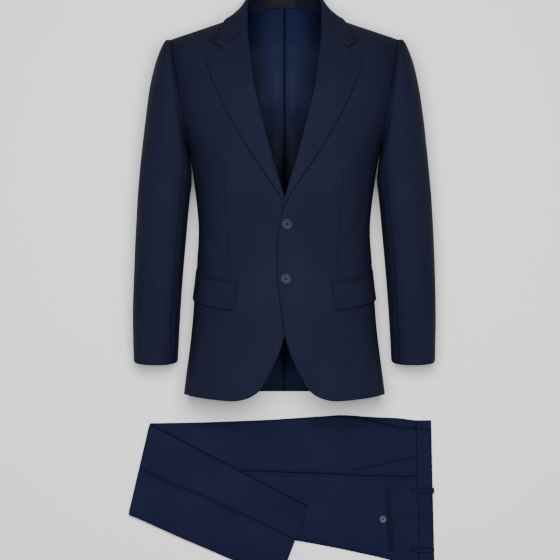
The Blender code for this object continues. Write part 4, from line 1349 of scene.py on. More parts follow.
@dataclass
class Sleeves:
    """Both sleeves, each of a top and an under piece."""

    form: JacketForm = FORM
    rings: Sequence[Ring] = (
        Ring(219, 43, 185.4, 256, 16, 147), Ring(228.5, 46, 184.3, 263, 11, 152),
        Ring(239, 66, 181, 281, 6, 156), Ring(250, 98, 178.5, 301, 2, 157),
        Ring(259.5, 142, 178.5, 322, -1, 155), Ring(267, 196, 181.5, 348, -1.5, 151),
        Ring(274.5, 262, 185.5, 390, -1.5, 145), Ring(281.5, 334, 190, 436, -1.5, 139),
        Ring(286.5, 412, 194.5, 484, -1.5, 132), Ring(290, 494, 199, 538, -1.5, 123),
        Ring(292.5, 578, 203, 600, -1.5, 112), Ring(291.5, 663, 206.5, 664, -1.5, 100))
    power: float = 2.25
    clear: float = 0.6
    under: float = 2.0
    sunk: float = 1.7
    armhole_centre: Triple = (202.0, 150.0, 86.0)
    seam: float = 0.0030
    seam_front: float = 0.13
    seam_back: float = 0.72
    head_ease: Pair = (0.6, 3.0)
    cuff_dip: float = 6.0
    cuff_power: int = 6
    girth: float = 330.0
    length: float = 650.0
    creases: dict[Hand, Sequence[Crease]] = field(default_factory=lambda: {
        Hand.LEFT: (
            Crease((52, 250), (150, 318), 13, 1.6, 9), Crease((60, 330), (130, 372), 11, 1.9, -7),
            Crease((70, 395), (160, 430), 12, -1.3, 6), Crease((100, 95), (92, 330), 17, -1.5, 8),
            Crease((128, 420), (118, 610), 15, 1.2, -6), Crease((66, 170), (74, 290), 10, 1.0),
            Crease((150, 330), (230, 368), 13, 1.5, 5)),
        Hand.RIGHT: (
            Crease((50, 268), (138, 300), 12, 1.5, -8), Crease((58, 345), (150, 396), 13, 1.8, 8),
            Crease((64, 415), (120, 430), 9, -1.1), Crease((112, 110), (98, 300), 18, -1.6, -7),
            Crease((84, 440), (96, 625), 14, 1.2, 6), Crease((150, 150), (142, 260), 11, 0.9),
            Crease((160, 350), (226, 380), 12, 1.4, -5))})

    def __post_init__(self) -> None:
        """Make a smooth curve of each column of the rings."""
        self.curves = [Curve(*enumerate(column)) for column in zip(*self.rings)]
        self.last = len(self.rings) - 1

    def build(self) -> None:
        """Make the top and the under piece of each sleeve."""
        front, back, seam = self.seam_front, self.seam_back, self.seam
        for hand in Hand:
            self.piece(hand, "top", front, back).build()
            self.piece(hand, "under", back + seam, 1 + front - seam).build()

    def point(self, side: int, row: float, turn: float) -> Vector:
        """A point of a sleeve's outer face.

        Args:
            side: the sleeve's side.
            row: how many rings below the armhole it lies.
            turn: its place round the ring, from under the arm over the front.

        Returns:
            The point in the part's frame.
        """
        angle = 2 * math.pi * turn
        reach, lift = -math.cos(angle), math.sin(angle)
        head = self.head(side, reach, lift)
        reach, lift = (math.copysign(abs(way) ** (2 / self.power), way) for way in (reach, lift))
        ring = Ring(*(curve.at(row) for curve in self.curves))
        share = (reach + 1) / 2
        drop = mix(ring.inner_drop, ring.outer_drop, share)
        drop += self.cuff_dip * max(0.0, lift) * (row / self.last) ** self.cuff_power
        height = max(0.0, mix(ring.low, ring.high, (lift + 1) / 2))
        x = mix(ring.inner_x, ring.outer_x, share) + self.clear
        return head.lerp(self.form.point(side, x, drop, height), rounding(row))

    def head(self, side: int, reach: float, lift: float) -> Vector:
        """A point of the armhole, where the sleeve's head is sewn in.

        Args:
            side: the sleeve's side.
            reach: how far out it is, from -1 at the armhole's foot to 1 at its top.
            lift: how high it is, from -1 on the back to 1 on the front.

        Returns:
            The point in the part's frame.
        """
        form, ring = self.form, self.rings[0]
        x = mix(ring.inner_x, ring.outer_x, (reach + 1) / 2)
        drop = mix(ring.inner_drop, ring.outer_drop, (reach + 1) / 2)
        surface = form.front_height if lift > 0 else form.back_height
        place = Vector((x, drop, max(0.0, surface(form.armhole_x(drop), drop))))
        place += (Vector(self.armhole_centre) - place).normalized() * self.sunk
        return form.point(side, place.x - self.under, place.y, place.z)

    def piece(self, hand: Hand, name: str, start: float, end: float) -> Sheet:
        """One piece of a sleeve.

        Args:
            hand: the sleeve's side.
            name: which piece it is.
            start: the place round the rings at which it starts.
            end: the place at which it ends.

        Returns:
            The piece.
        """
        def place(across: float, down: float) -> Spot:
            """Place a point of the grid."""
            ease, stretch = self.head_ease
            turn = mix(start, end, across)
            row = self.last * mix(mix(down * down, down, ease), down, smooth(down * stretch))
            point = self.point(hand.value, row, turn)
            return Spot(point, turn * self.girth, row / self.last * self.length)

        # the cuff's rolled rim and the sewn edges get painted shade
        return Sheet(
            f"sleeve_{name}_piece_{hand}", f"sleeve_{name}_{hand}", place,
            grid_lines((end - start) * self.girth, self.form.cell),
            grid_lines(self.length, self.form.cell), SUITING, hand.value, inside=LINING,
            sewn=Edge.START | Edge.END, creases=self.creases[hand], wave=0.9,
            seed=11.3 * hand.value, tied=16.0, rim=Edge.BOTTOM)


# ---- collar and lapels
class Neck(NamedTuple):
    """A section of the collar, each place as x out, distance up from the neck, and height."""

    fold: Triple
    edge: Triple
    stand: Triple


@dataclass
class CollarAndLapels:
    """The collar round the neck, and the lapels that it is sewn to."""

    form: JacketForm = FORM
    necks: Sequence[Neck] = (
        Neck((0, 53, 44), (0, 11, 18), (0, 21.5, 35.8)),
        Neck((28, 52, 46), (32, 10, 19), (30.5, 20, 38.7)),
        Neck((52, 46, 57), (62, 8, 25), (56, 15.3, 46.6)),
        Neck((67, 36, 76), (88, 3, 52), (76, 5, 58)),
        Neck((71.5, 20, 95), (104, -1, 92), (82, -0.3, 72)),
        Neck((72, -2, 117), (119, -18, 126), (79, -8, 99)),
        Neck((70.5, -31, 143), (136.5, -57, 160), (71, -30, 133)))
    length: float = 420.0
    cell: float = 4.6
    chart: Pair = (400.0, 130.0)
    wall: float = 1.8
    roll: float = 2.3
    spring: float = 1.25
    off_shoulder: float = 2.4
    over_shoulder: float = 8.0
    on_chest: Pair = (4.3, 5.4)
    to_chest: float = 0.4
    notch: float = 0.70
    notch_dip: float = 19.0
    leaf_width: float = 76.0
    stand_steps: int = 7
    stand_shade: Triple = (0.45, 18.0, 16.0)
    roll_steps: int = 9
    lapel_edge: Curve = Curve((97, 148), (141, 131), (196, 105.5), (258, 70), (310, 35.5),
                              (340, 14.5), (358, 5), (374, -3))
    lapel_span: Pair = (32.2, 372.0)
    lapel_outer: Pair = (97.0, 373.0)
    lapel_length: float = 340.0
    lapel_wall: float = 2.2
    lapel_roll: float = 2.9
    lapel_clear: float = 1.3
    lapel_rest: float = 2.6
    lapel_tip: Pair = (0.35, 26.0)
    lapel_spring: float = 2.4
    roll_ease: float = 60.0
    spring_ease: float = 120.0
    lapel_to_chest: float = 0.6
    roll_turns: Sequence[float] = (-25, -8, 9, 26, 42, 58, 74, 90)
    edge_lines: Sequence[float] = (0.0, 1.2, 2.8)
    lapel_columns: int = 17
    first_share: float = 0.1
    lapel_creases: dict[Hand, Sequence[Crease]] = field(default_factory=lambda: {
        Hand.LEFT: (Crease((58, 120), (96, 168), 13, 0.7, 4),
                    Crease((40, 215), (78, 232), 11, -0.6)),
        Hand.RIGHT: (Crease((60, 150), (100, 182), 12, 0.7, -3),
                     Crease((30, 262), (60, 268), 10, -0.5))})

    def __post_init__(self) -> None:
        """Make a smooth curve of each coordinate of the sections."""
        self.curves = [[Curve(*enumerate(column)) for column in zip(*places)]
                       for places in zip(*self.necks)]
        self.last = len(self.necks) - 1
        self.leaf_shares = grid_lines(self.leaf_width, 4.5, (0.0, self.notch, 1.0), (1.2,))

    def build(self) -> None:
        """Make the collar and both lapels."""
        self.collar().build()
        for hand in Hand:
            self.lapel(hand).build()

    def profile(self, side: float, row: float) -> list[Vector]:
        """Middle layer of the collar at a section: stand, roll, leaf.

        Args:
            side: the side that it is on.
            row: how many sections from the centre it lies.

        Returns:
            The layer's points in the part's frame.
        """
        form = self.form
        neck = Neck(*(Vector([curve.at(row) for curve in curves]) for curves in self.curves))
        fold, edge, stand = neck.fold, neck.edge, neck.stand
        up = -((edge - fold).normalized() + (stand - fold).normalized()).normalized()
        out = edge - fold
        out = (out - up * out.dot(up)).normalized()
        points = [stand.lerp(fold, step / self.stand_steps) for step in range(self.stand_steps)]
        for step in range(self.roll_steps):
            angle = math.pi * step / self.roll_steps
            round_over = out * (1 - math.cos(angle)) + up * math.sin(angle)
            points.append(fold + round_over * self.roll)
        leaf = fold + out * 2 * self.roll
        front_end = smooth(row - self.last + 1) ** 2
        low, high = self.on_chest
        on_chest = smooth((row - low) / (high - low))
        for share in self.leaf_shares:
            point = leaf.lerp(edge, share)
            point.y -= self.notch_dip * front_end * min(
                share / self.notch, (1 - share) / (1 - self.notch))
            point += (out + up) * self.spring * hump(share)
            drop = max(-point.y, form.shoulder_drop(point.x) + self.over_shoulder)
            rest = form.front_height(point.x, drop) + form.lay_gap + self.wall
            rest += self.off_shoulder * (1 - front_end)
            point.z = mix(point.z, rest, on_chest * smooth(share / self.to_chest))
            points.append(point)
        return [form.point(side, p.x, -p.y, p.z) for p in points]

    def collar(self) -> Sheet:
        """The collar, in one sheet from gorge to gorge.

        Returns:
            The collar.
        """
        columns = grid_lines(self.length, self.cell)
        profiles = {share: self.profile(math.copysign(1, share - 0.5),
                                        self.last * abs(2 * share - 1)) for share in columns}
        rows = len(profiles[0.0]) - 1

        def place(across: float, down: float) -> Spot:
            """Place a point of the grid."""
            long, deep = self.chart
            return Spot(profiles[across][round(down * rows)], across * long, down * deep)

        def mark(spot: Spot) -> float:
            """Painted shade on the stand, below the collar's roll."""
            strength, start, length = self.stand_shade
            return strength * (1 - smooth((spot.y - start) / length))

        # painted shade on the stand and along the collar's rolled rims
        return Sheet(
            "collar", "jacket_collar", place, columns, even(rows), SUITING, 1, self.wall,
            CENTRED, wave=0.5, seed=4.4, edge_round=0.6, mark=mark, rim_depth=0.5,
            rim=Edge.START | Edge.END | Edge.BOTTOM,
            rests_on=["front_left", "front_right", "back_left", "back_right"])

    def lapel(self, hand: Hand) -> Sheet:
        """One lapel, rolled over at the front's edge and lying on the chest.

        Args:
            hand: the side that it is on.

        Returns:
            The lapel.
        """
        form, side = self.form, hand.value
        turns = [math.radians(turn) for turn in self.roll_turns]
        shares = [mix(self.first_share, 1.0, share) for share in even(self.lapel_columns)]
        columns = len(turns) + len(shares) - 1
        top, end = self.lapel_span

        def rolled(drop: float, height: float, turn: float) -> Spot:
            """Place a point of the rolled edge."""
            inner_x, below = form.front_edge.at(drop), drop + 2
            base = form.chest(side, inner_x, drop)
            normal = form.chest(side, inner_x, drop, 1.0) - base
            along = form.chest(side, form.front_edge.at(below), below) - base
            away = normal.cross(along.normalized()) * side
            away *= -math.copysign(1, away.x * side)
            sideways = self.lapel_clear + height * (math.cos(turn) - 1)
            point = base + away * sideways + normal * height * math.sin(turn)
            return Spot(point, inner_x, drop)

        def place(across: float, down: float) -> Spot:
            """Place a point of the grid."""
            column, drop = round(across * columns), mix(top, end, down)
            height = mix(self.lapel_rest, self.lapel_roll, smooth((end - drop) / self.roll_ease))
            low, tip = self.lapel_tip
            height *= mix(low, 1.0, smooth((end - drop) / tip))
            if column < len(turns):
                return rolled(drop, height, turns[column])
            outer_drop = mix(*self.lapel_outer, down)
            inner_x, outer_x = form.front_edge.at(drop), self.lapel_edge.at(outer_drop)
            share = shares[column - len(turns)]
            if column > columns - len(self.edge_lines):
                width = max(math.hypot(outer_x - inner_x, outer_drop - drop), 1.0)
                share = max(share, 1 - self.edge_lines[columns - column] / width)
            lift = mix(height, min(height, self.lapel_rest), smooth(share / self.lapel_to_chest))
            lift += self.lapel_spring * smooth((end - drop) / self.spring_ease) * hump(share)
            x, here = mix(inner_x, outer_x, share), mix(drop, outer_drop, share)
            return Spot(form.chest(side, x, here, lift), x, here)

        # the lapel's rolled rims get painted shade, for the shadow line at its edge, besides the
        # real roll
        return Sheet(
            f"lapel_{hand}", f"jacket_lapel_{hand}", place, even(columns),
            grid_lines(self.lapel_length, 5.0), SUITING, side, self.lapel_wall, CENTRED,
            wave=0.4, seed=6.1 * side, edge_round=0.5, rim=Edge.END | Edge.TOP, rim_depth=0.7,
            creases=self.lapel_creases[hand], rests_on=[f"front_{hand}"])


# ---- pockets
@dataclass
class JacketPockets:
    """Flap pockets at the hips, and the welt at the breast."""

    body: JacketBody
    lapels: CollarAndLapels
    front_corner: Pair = (89.0, 513.0)
    side_drop: float = 491.0
    reach: float = 0.985
    depth: float = 51.0
    corner: float = 10.0
    lean: float = 0.022
    stand: float = 1.8
    length: float = 142.0
    corner_columns: Sequence[float] = (
        0.0, 0.003, 0.0075, 0.0135, 0.022, 0.032, 0.044, 0.057, 0.0705)
    even_columns: int = 24
    jetting_width: float = 5.0
    trim_wall: float = 1.2
    jetting_reach: float = 4.0
    welt_width: float = 47.0
    welt_top: float = 187.0
    welt_rise: float = 13.0
    welt_depth: float = 22.0
    welt_from_lapel: float = 3.0
    welt_gape: float = 1.0
    welt_sunk: float = -0.9
    welt_ends: float = 9.0
    welt_shade: Triple = (0.25, 0.6, 2.5)
    flap_creases: dict[Hand, Sequence[Crease]] = field(default_factory=lambda: {
        Hand.LEFT: (Crease((38, -5), (52, 58), 16, -0.8, 4), Crease((96, -5), (88, 58), 14, 0.6)),
        Hand.RIGHT: (Crease((28, -5), (24, 58), 13, 0.6, -3),
                     Crease((72, -5), (86, 58), 17, -0.9))})

    def build(self) -> None:
        """Make both flaps with their jettings, and the welt."""
        for hand in Hand:
            self.flap(hand).build()
            self.jetting(hand).build()
        self.welt().build()

    def line(self, share: float) -> Pair:
        """The flap's upper edge: its place round the section, and its drop."""
        inner = self.body.form.front_share(*self.front_corner)
        return mix(inner, self.reach, share), mix(self.front_corner[1], self.side_drop, share)

    def flap(self, hand: Hand) -> Sheet:
        """One flap, with its front corner rounded.

        Args:
            hand: the side that it is on.

        Returns:
            The flap.
        """
        form, side = self.body.form, hand.value
        last = self.corner_columns[-1]
        shares = [mix(last, 1.0, share) for share in even(self.even_columns)[1:]]

        def place(across: float, down: float) -> Spot:
            """Place a point of the grid."""
            turn, top = self.line(across)
            from_corner = max(0.0, self.corner - across * self.length)
            cut = self.corner - math.sqrt(self.corner ** 2 - from_corner ** 2)
            fall = (self.depth - cut) * down
            x = form.front_x(turn + self.lean * (1 - across) * fall / self.depth, top + fall)
            point = form.chest(side, x, top + fall, form.lay_gap + self.stand * down ** 2)
            return Spot(point, across * self.length, down * self.depth)

        # the flap's rolled rims and its sewn top get painted shade
        return Sheet(
            f"flap_{hand}", f"pocket_flap_{hand}", place, [*self.corner_columns, *shares],
            grid_lines(self.depth, 5.0), SUITING, side, grow=OUTWARD, wave=0.4,
            rests_on=[f"front_{hand}"], creases=self.flap_creases[hand], sewn=Edge.TOP,
            seam_depth=0.25, seed=7.7 * side, tied=12.0,
            rim=Edge.START | Edge.END | Edge.BOTTOM)

    def jetting(self, hand: Hand) -> Sheet:
        """The narrow jetting above a flap.

        Args:
            hand: the side that it is on.

        Returns:
            The jetting.
        """
        form, side = self.body.form, hand.value

        def place(across: float, down: float) -> Spot:
            """Place a point of the grid."""
            turn, top = self.line(mix(-self.jetting_reach / self.length, 1.0, across))
            drop = top - form.seam_gap - self.jetting_width * (1 - down)
            point = form.chest(side, form.front_x(turn, drop), drop, form.lay_gap)
            return Spot(point, across * self.length, down * self.jetting_width)

        # the jetting's rims get painted shade
        return Sheet(
            f"jetting_{hand}", f"pocket_jetting_{hand}", place, grid_lines(self.length, 5.0),
            grid_lines(self.jetting_width, 1.7, close=(0.8,)), SUITING, side,
            self.trim_wall, OUTWARD, rests_on=[f"front_{hand}"], wave=0.15, seed=1.3 * side,
            rim=Edge.AROUND, rim_depth=0.4, rim_width=1.3)

    def welt(self) -> Sheet:
        """The breast welt on the left front, which gapes a little at its outer corner.

        Returns:
            The welt.
        """
        form = self.body.form

        def place(across: float, down: float) -> Spot:
            """Place a point of the grid."""
            drop = self.welt_top + self.welt_depth * down
            x = self.lapels.lapel_edge.at(drop) + self.welt_from_lapel + self.welt_width * across
            ends = max(smooth(1 - self.welt_ends * across),
                       smooth(1 - self.welt_ends * (1 - across)))
            lift = mix(form.lay_gap, self.welt_sunk, max(smooth(down * 1.3), ends))
            lift += self.welt_gape * (1 - down) ** 2 * smooth(across * 1.2)
            point = form.chest(1, x, drop - self.welt_rise * across, lift)
            return Spot(point, across * self.welt_width, down * self.welt_depth)

        def mark(spot: Spot) -> float:
            """Painted shade in the pocket's mouth, more of it at the outer end where it gapes."""
            least, more, width = self.welt_shade
            outer = smooth((spot.x / self.welt_width - 0.8) / 0.2)
            return (least + more * outer) * max(0.0, 1 - spot.y / width)

        # the mark paints shade in the pocket's mouth
        return Sheet(
            "breast_welt", "breast_pocket_welt", place, grid_lines(self.welt_width, 5.0),
            grid_lines(self.welt_depth, 4.5), SUITING, 1, self.trim_wall, OUTWARD,
            rests_on=["front_left"], wave=0.2, seed=9.9, mark=mark)


# ---- buttons and label
@dataclass
class Button:
    """A dished button with a rim and four holes, sewn on with a crossed thread."""

    name: str
    node: str
    place: Vector
    normal: Vector
    radius: float
    finish: Finish
    turn: float
    lift: float = 0.5
    profile: Sequence[Pair] = (
        (0.0, 0.27), (0.26, 0.27), (0.46, 0.272), (0.58, 0.29), (0.66, 0.335), (0.73, 0.38),
        (0.81, 0.40), (0.90, 0.385), (0.965, 0.33), (1.0, 0.25), (0.985, 0.17), (0.93, 0.10),
        (0.84, 0.055), (0.6, 0.015), (0.0, 0.0))
    steps: int = 48
    hole_place: float = 0.19
    hole_radius: float = 0.082
    thread_radius: float = 0.055
    thread_top: float = 0.30
    thread_gap: float = 1.7
    thread_rise: float = 1.3
    bend: float = 0.8

    def build(self) -> None:
        """Make the button and its thread."""
        turned = self.normal.to_track_quat("Z", "Y").to_matrix().to_4x4()
        where = (Matrix.Translation(self.place + self.normal * self.lift) @ turned
                 @ Matrix.Rotation(self.turn, 4, "Z"))
        reach = self.hole_place * self.radius
        holes = [Vector((reach * x, reach * y, 0.0))
                 for x, y in ((1, 1), (-1, 1), (-1, -1), (1, -1))]
        piece = finish_mesh(self.name, self.disc(holes), self.finish, where=where)
        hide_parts(self.node)
        finish_mesh(f"{self.name}_thread", self.thread(holes), DARK_THREAD, self.finish.slot,
                    where)

    def disc(self, holes: Sequence[Vector]) -> Mesh:
        """Turn the button and drill its holes.

        Args:
            holes: the holes' places.

        Returns:
            The button's mesh.
        """
        body, cutter, hole = bmesh.new(), bmesh.new(), self.hole_radius * self.radius
        verts = [body.verts.new((x * self.radius, 0.0, z * self.radius))
                 for x, z in self.profile]
        edges = [body.edges.new(pair) for pair in zip(verts, verts[1:])]
        bmesh.ops.spin(body, geom=verts + edges, cent=(0, 0, 0), axis=(0, 0, 1),
                       angle=2 * math.pi, steps=self.steps, use_merge=True)
        bmesh.ops.remove_doubles(body, verts=body.verts, dist=0.001)
        bmesh.ops.recalc_face_normals(body, faces=body.faces)
        for place in holes:
            bmesh.ops.create_cone(cutter, cap_ends=True, segments=16, radius1=hole,
                                  radius2=hole, depth=self.radius,
                                  matrix=Matrix.Translation(place))
        body = carve(body, cutter)
        close_mesh(body, 40)
        return body

    def thread(self, holes: Sequence[Vector]) -> Mesh:
        """Cross the thread over the button, two strands each way.

        Args:
            holes: the holes' places.

        Returns:
            The thread's mesh.
        """
        data, radius = bmesh.new(), self.thread_radius * self.radius
        top, low, bend = self.radius * self.thread_top, -self.lift, self.bend
        for start, end in zip(holes[:2], holes[2:]):
            for aside in (-0.5, 0.5):
                shift = Vector((-start.y, start.x, 0)).normalized()
                shift *= aside * radius * self.thread_gap
                path = [start, start, start * bend, end * bend, end, end]
                heights = [low, top * bend, top, top, top * bend, low]
                sweep(data, [point + shift + Vector((0, 0, height))
                             for point, height in zip(path, heights)], radius, 8)
            top += radius * self.thread_rise
        close_mesh(data, 60)
        return data


@dataclass
class JacketTrim:
    """The jacket's buttons and buttonholes, and the bare label inside its collar."""

    form: JacketForm
    collar: CollarAndLapels
    places: Sequence[tuple[str, float, float, float]] = (
        ("upper", 4.6, 401.6, 0.25), ("lower", 2.4, 504.0, 0.62))
    radius: float = 10.4
    hole: Pair = (9.0, 24.5)
    hole_step: float = 0.85
    bar_step: float = 0.3
    label_width: float = 58.0
    label_depth: float = 25.0
    label_shift: float = -9.0
    label_span: Pair = (0.20, 0.90)
    label_facing: Vector = field(default_factory=lambda: Vector((0.0, -0.35, 0.94)))
    label_wall: float = 0.5
    label_rows: int = 17
    label_ends: int = 7
    stitch: Triple = (0.22, 0.5, 0.78)

    def build(self) -> None:
        """Make the buttons, their buttonholes and the label."""
        for level, x, drop, turn in self.places:
            place = self.form.chest(1, x, drop)
            normal = (self.form.chest(1, x, drop, 1.0) - place).normalized()
            Button(f"button_{level}", f"jacket_button_{level}", place, normal, self.radius,
                   JACKET_HORN, turn).build()
            self.buttonhole(level, x, drop)
        self.label().build()
        self.label_sewing()

    def buttonhole(self, level: str, x: float, drop: float) -> None:
        """A worked buttonhole in the left front: close stitches over both its lips.

        Args:
            level: which buttonhole it is.
            x: where its button is.
            drop: how far down it is.
        """
        chest, (start, end) = self.form.chest, self.hole
        runs = []
        for lip in (-1, 1):
            for index in range(round((end - start) / self.hole_step)):
                here = x + start + index * self.hole_step
                runs.append([chest(1, here, drop + lip * off, lift) for off, lift in
                             ((0.15, 0.1), (0.5, 0.55), (1.5, 0.5), (2.0, -0.1))])
        for index in range(5):
            here = x + end + self.bar_step * index
            runs.append([chest(1, here, drop + off, 0.5) for off in (-1.9, 0.0, 1.9)])
        stitches(f"buttonhole_{level}", runs, 0.32, "suiting", NAVY_THREAD)

    def label_point(self, across: float, down: float, lift: float = 0.0) -> Vector:
        """A point of the label.

        Args:
            across: share of the way across the label.
            down: share of the way down it.
            lift: how far over its underside.

        Returns:
            The point in the part's frame.
        """
        collar = self.collar
        x = self.label_shift + self.label_width * (across - 0.5)
        profile = collar.profile(math.copysign(1, x), abs(x) / collar.necks[1].fold[0])
        point = profile[collar.stand_steps].lerp(profile[0], mix(*self.label_span, down))
        return point + self.label_facing * (collar.wall / 2 + self.form.lay_gap + lift)

    def label_sewing(self) -> None:
        """Sew small stitches round the label's edge."""
        lift = self.label_wall + 0.08
        runs = [[self.label_point((index + part) / self.label_rows, down, lift)
                 for part in self.stitch]
                for index in range(self.label_rows) for down in (0.05, 0.95)]
        runs += [[self.label_point(across, (index + part) / self.label_ends, lift)
                  for part in self.stitch]
                 for index in range(self.label_ends) for across in (0.022, 0.978)]
        stitches("label_stitches", runs, 0.17, "label", NAVY_THREAD)

    def label(self) -> Sheet:
        """The label, which is bare.

        Returns:
            The label.
        """
        def place(across: float, down: float) -> Spot:
            """Place a point of the grid."""
            point = self.label_point(across, down)
            return Spot(point, self.label_width * across, self.label_depth * down)

        return Sheet(
            "label", "jacket_label", place, grid_lines(self.label_width, 4.0),
            grid_lines(self.label_depth, 4.0), LABEL_CLOTH, 1, self.label_wall, OUTWARD,
            rests_on=["collar"], wave=0.1, edge_round=0.15)


# ---- the trousers' form
class Station(NamedTuple):
    """A line across the trousers: where it meets the front and the back crease."""

    front: float
    back: float

    def past(self, distance: float) -> "Station":
        """The same line, further along."""
        return Station(self.front + distance, self.back + distance)

    def toward(self, other: "Station", share: float) -> "Station":
        """A line a share of the way to another one."""
        return Station(mix(self.front, other.front, share), mix(self.back, other.back, share))


@dataclass(eq=False)
class TrouserForm:
    """The flat trousers and their fold, as their cut gives them."""

    place: Pair = (295.6, -259.1)
    stack: float = 7.0
    fold_centre: float = 7.4
    fold_radius: float = 3.7
    fold: Station = Station(547.0, 589.0)
    sag: float = 7.3
    sag_width: float = 75.0
    waist: Station = Station(2.0, -5.0)
    waist_seam: Station = Station(31.5, 24.0)
    hem: Station = Station(900.0, 918.0)
    seam_gap: float = 0.3
    front: Curve = Curve(
        (-10, 0), (35, 0), (67, 4), (114, 6), (177, 10), (208, 8), (271, 4), (335, 0),
        (440, -4), (550, -6), (930, -13.5))
    near_front: Curve = Curve(
        (-10, -16), (45, -16), (66, -14), (92, -8), (140, 3), (190, 8), (240, 5), (335, -1),
        (440, -5), (550, -7), (930, -14.5))
    back: Curve = Curve(
        (-10, -323), (10, -311), (43, -292), (82, -275), (145, -260), (208, -247), (300, -231),
        (400, -215), (500, -199), (596, -185), (700, -180), (930, -169))
    outseam: Curve = Curve((0, 0.29), (80, 0.37), (160, 0.435), (350, 0.45), (580, 0.50),
                           (700, 0.46), (900, 0.45))

    def __post_init__(self) -> None:
        """Work out the line about which the legs are folded."""
        self.start, end, _ = self.line(self.fold, True)
        self.away = (end - self.start).normalized().cross(Vector((0.0, 0.0, -1.0)))
        self.length = math.pi * self.fold_radius

    def crease(self, along: float, near: bool) -> float:
        """Place of a leg's front crease."""
        return (self.near_front if near else self.front).at(along)

    def spot(self, point: Vector, height: float) -> Spot:
        """A point of the cloth, after the legs are folded.

        Args:
            point: its place along and up the flat trousers.
            height: its height over the surface, before the fold.

        Returns:
            The point in the part's frame, with its place on the flat trousers.
        """
        place = Vector((point.x, point.y, 0.0))
        beyond = (place - self.start).dot(self.away)
        radius = self.fold_centre - height
        foot = place - self.away * beyond
        if beyond > self.length:
            place = foot - self.away * (beyond - self.length)
            off_edge = self.back.at(place.x) - place.y
            height = self.fold_centre + radius - self.sag * smooth(off_edge / self.sag_width)
        elif beyond > 0:
            turn = beyond / self.fold_radius
            place = foot + self.away * radius * math.sin(turn)
            height = self.fold_centre - radius * math.cos(turn)
        folded = Vector((self.place[0] - place.x, self.place[1] + place.y, height))
        return Spot(folded, point.x, point.y)

    def line(self, station: Station, near: bool) -> tuple[Vector, Vector, float]:
        """Lay out a station's line.

        Args:
            station: the station.
            near: whether it is on the upper leg.

        Returns:
            The line's two ends and its length.
        """
        front = Vector((station.front, self.crease(station.front, near), 0.0))
        back = Vector((station.back, self.back.at(station.back), 0.0))
        return front, back, (back - front).length


TROUSERS = TrouserForm()


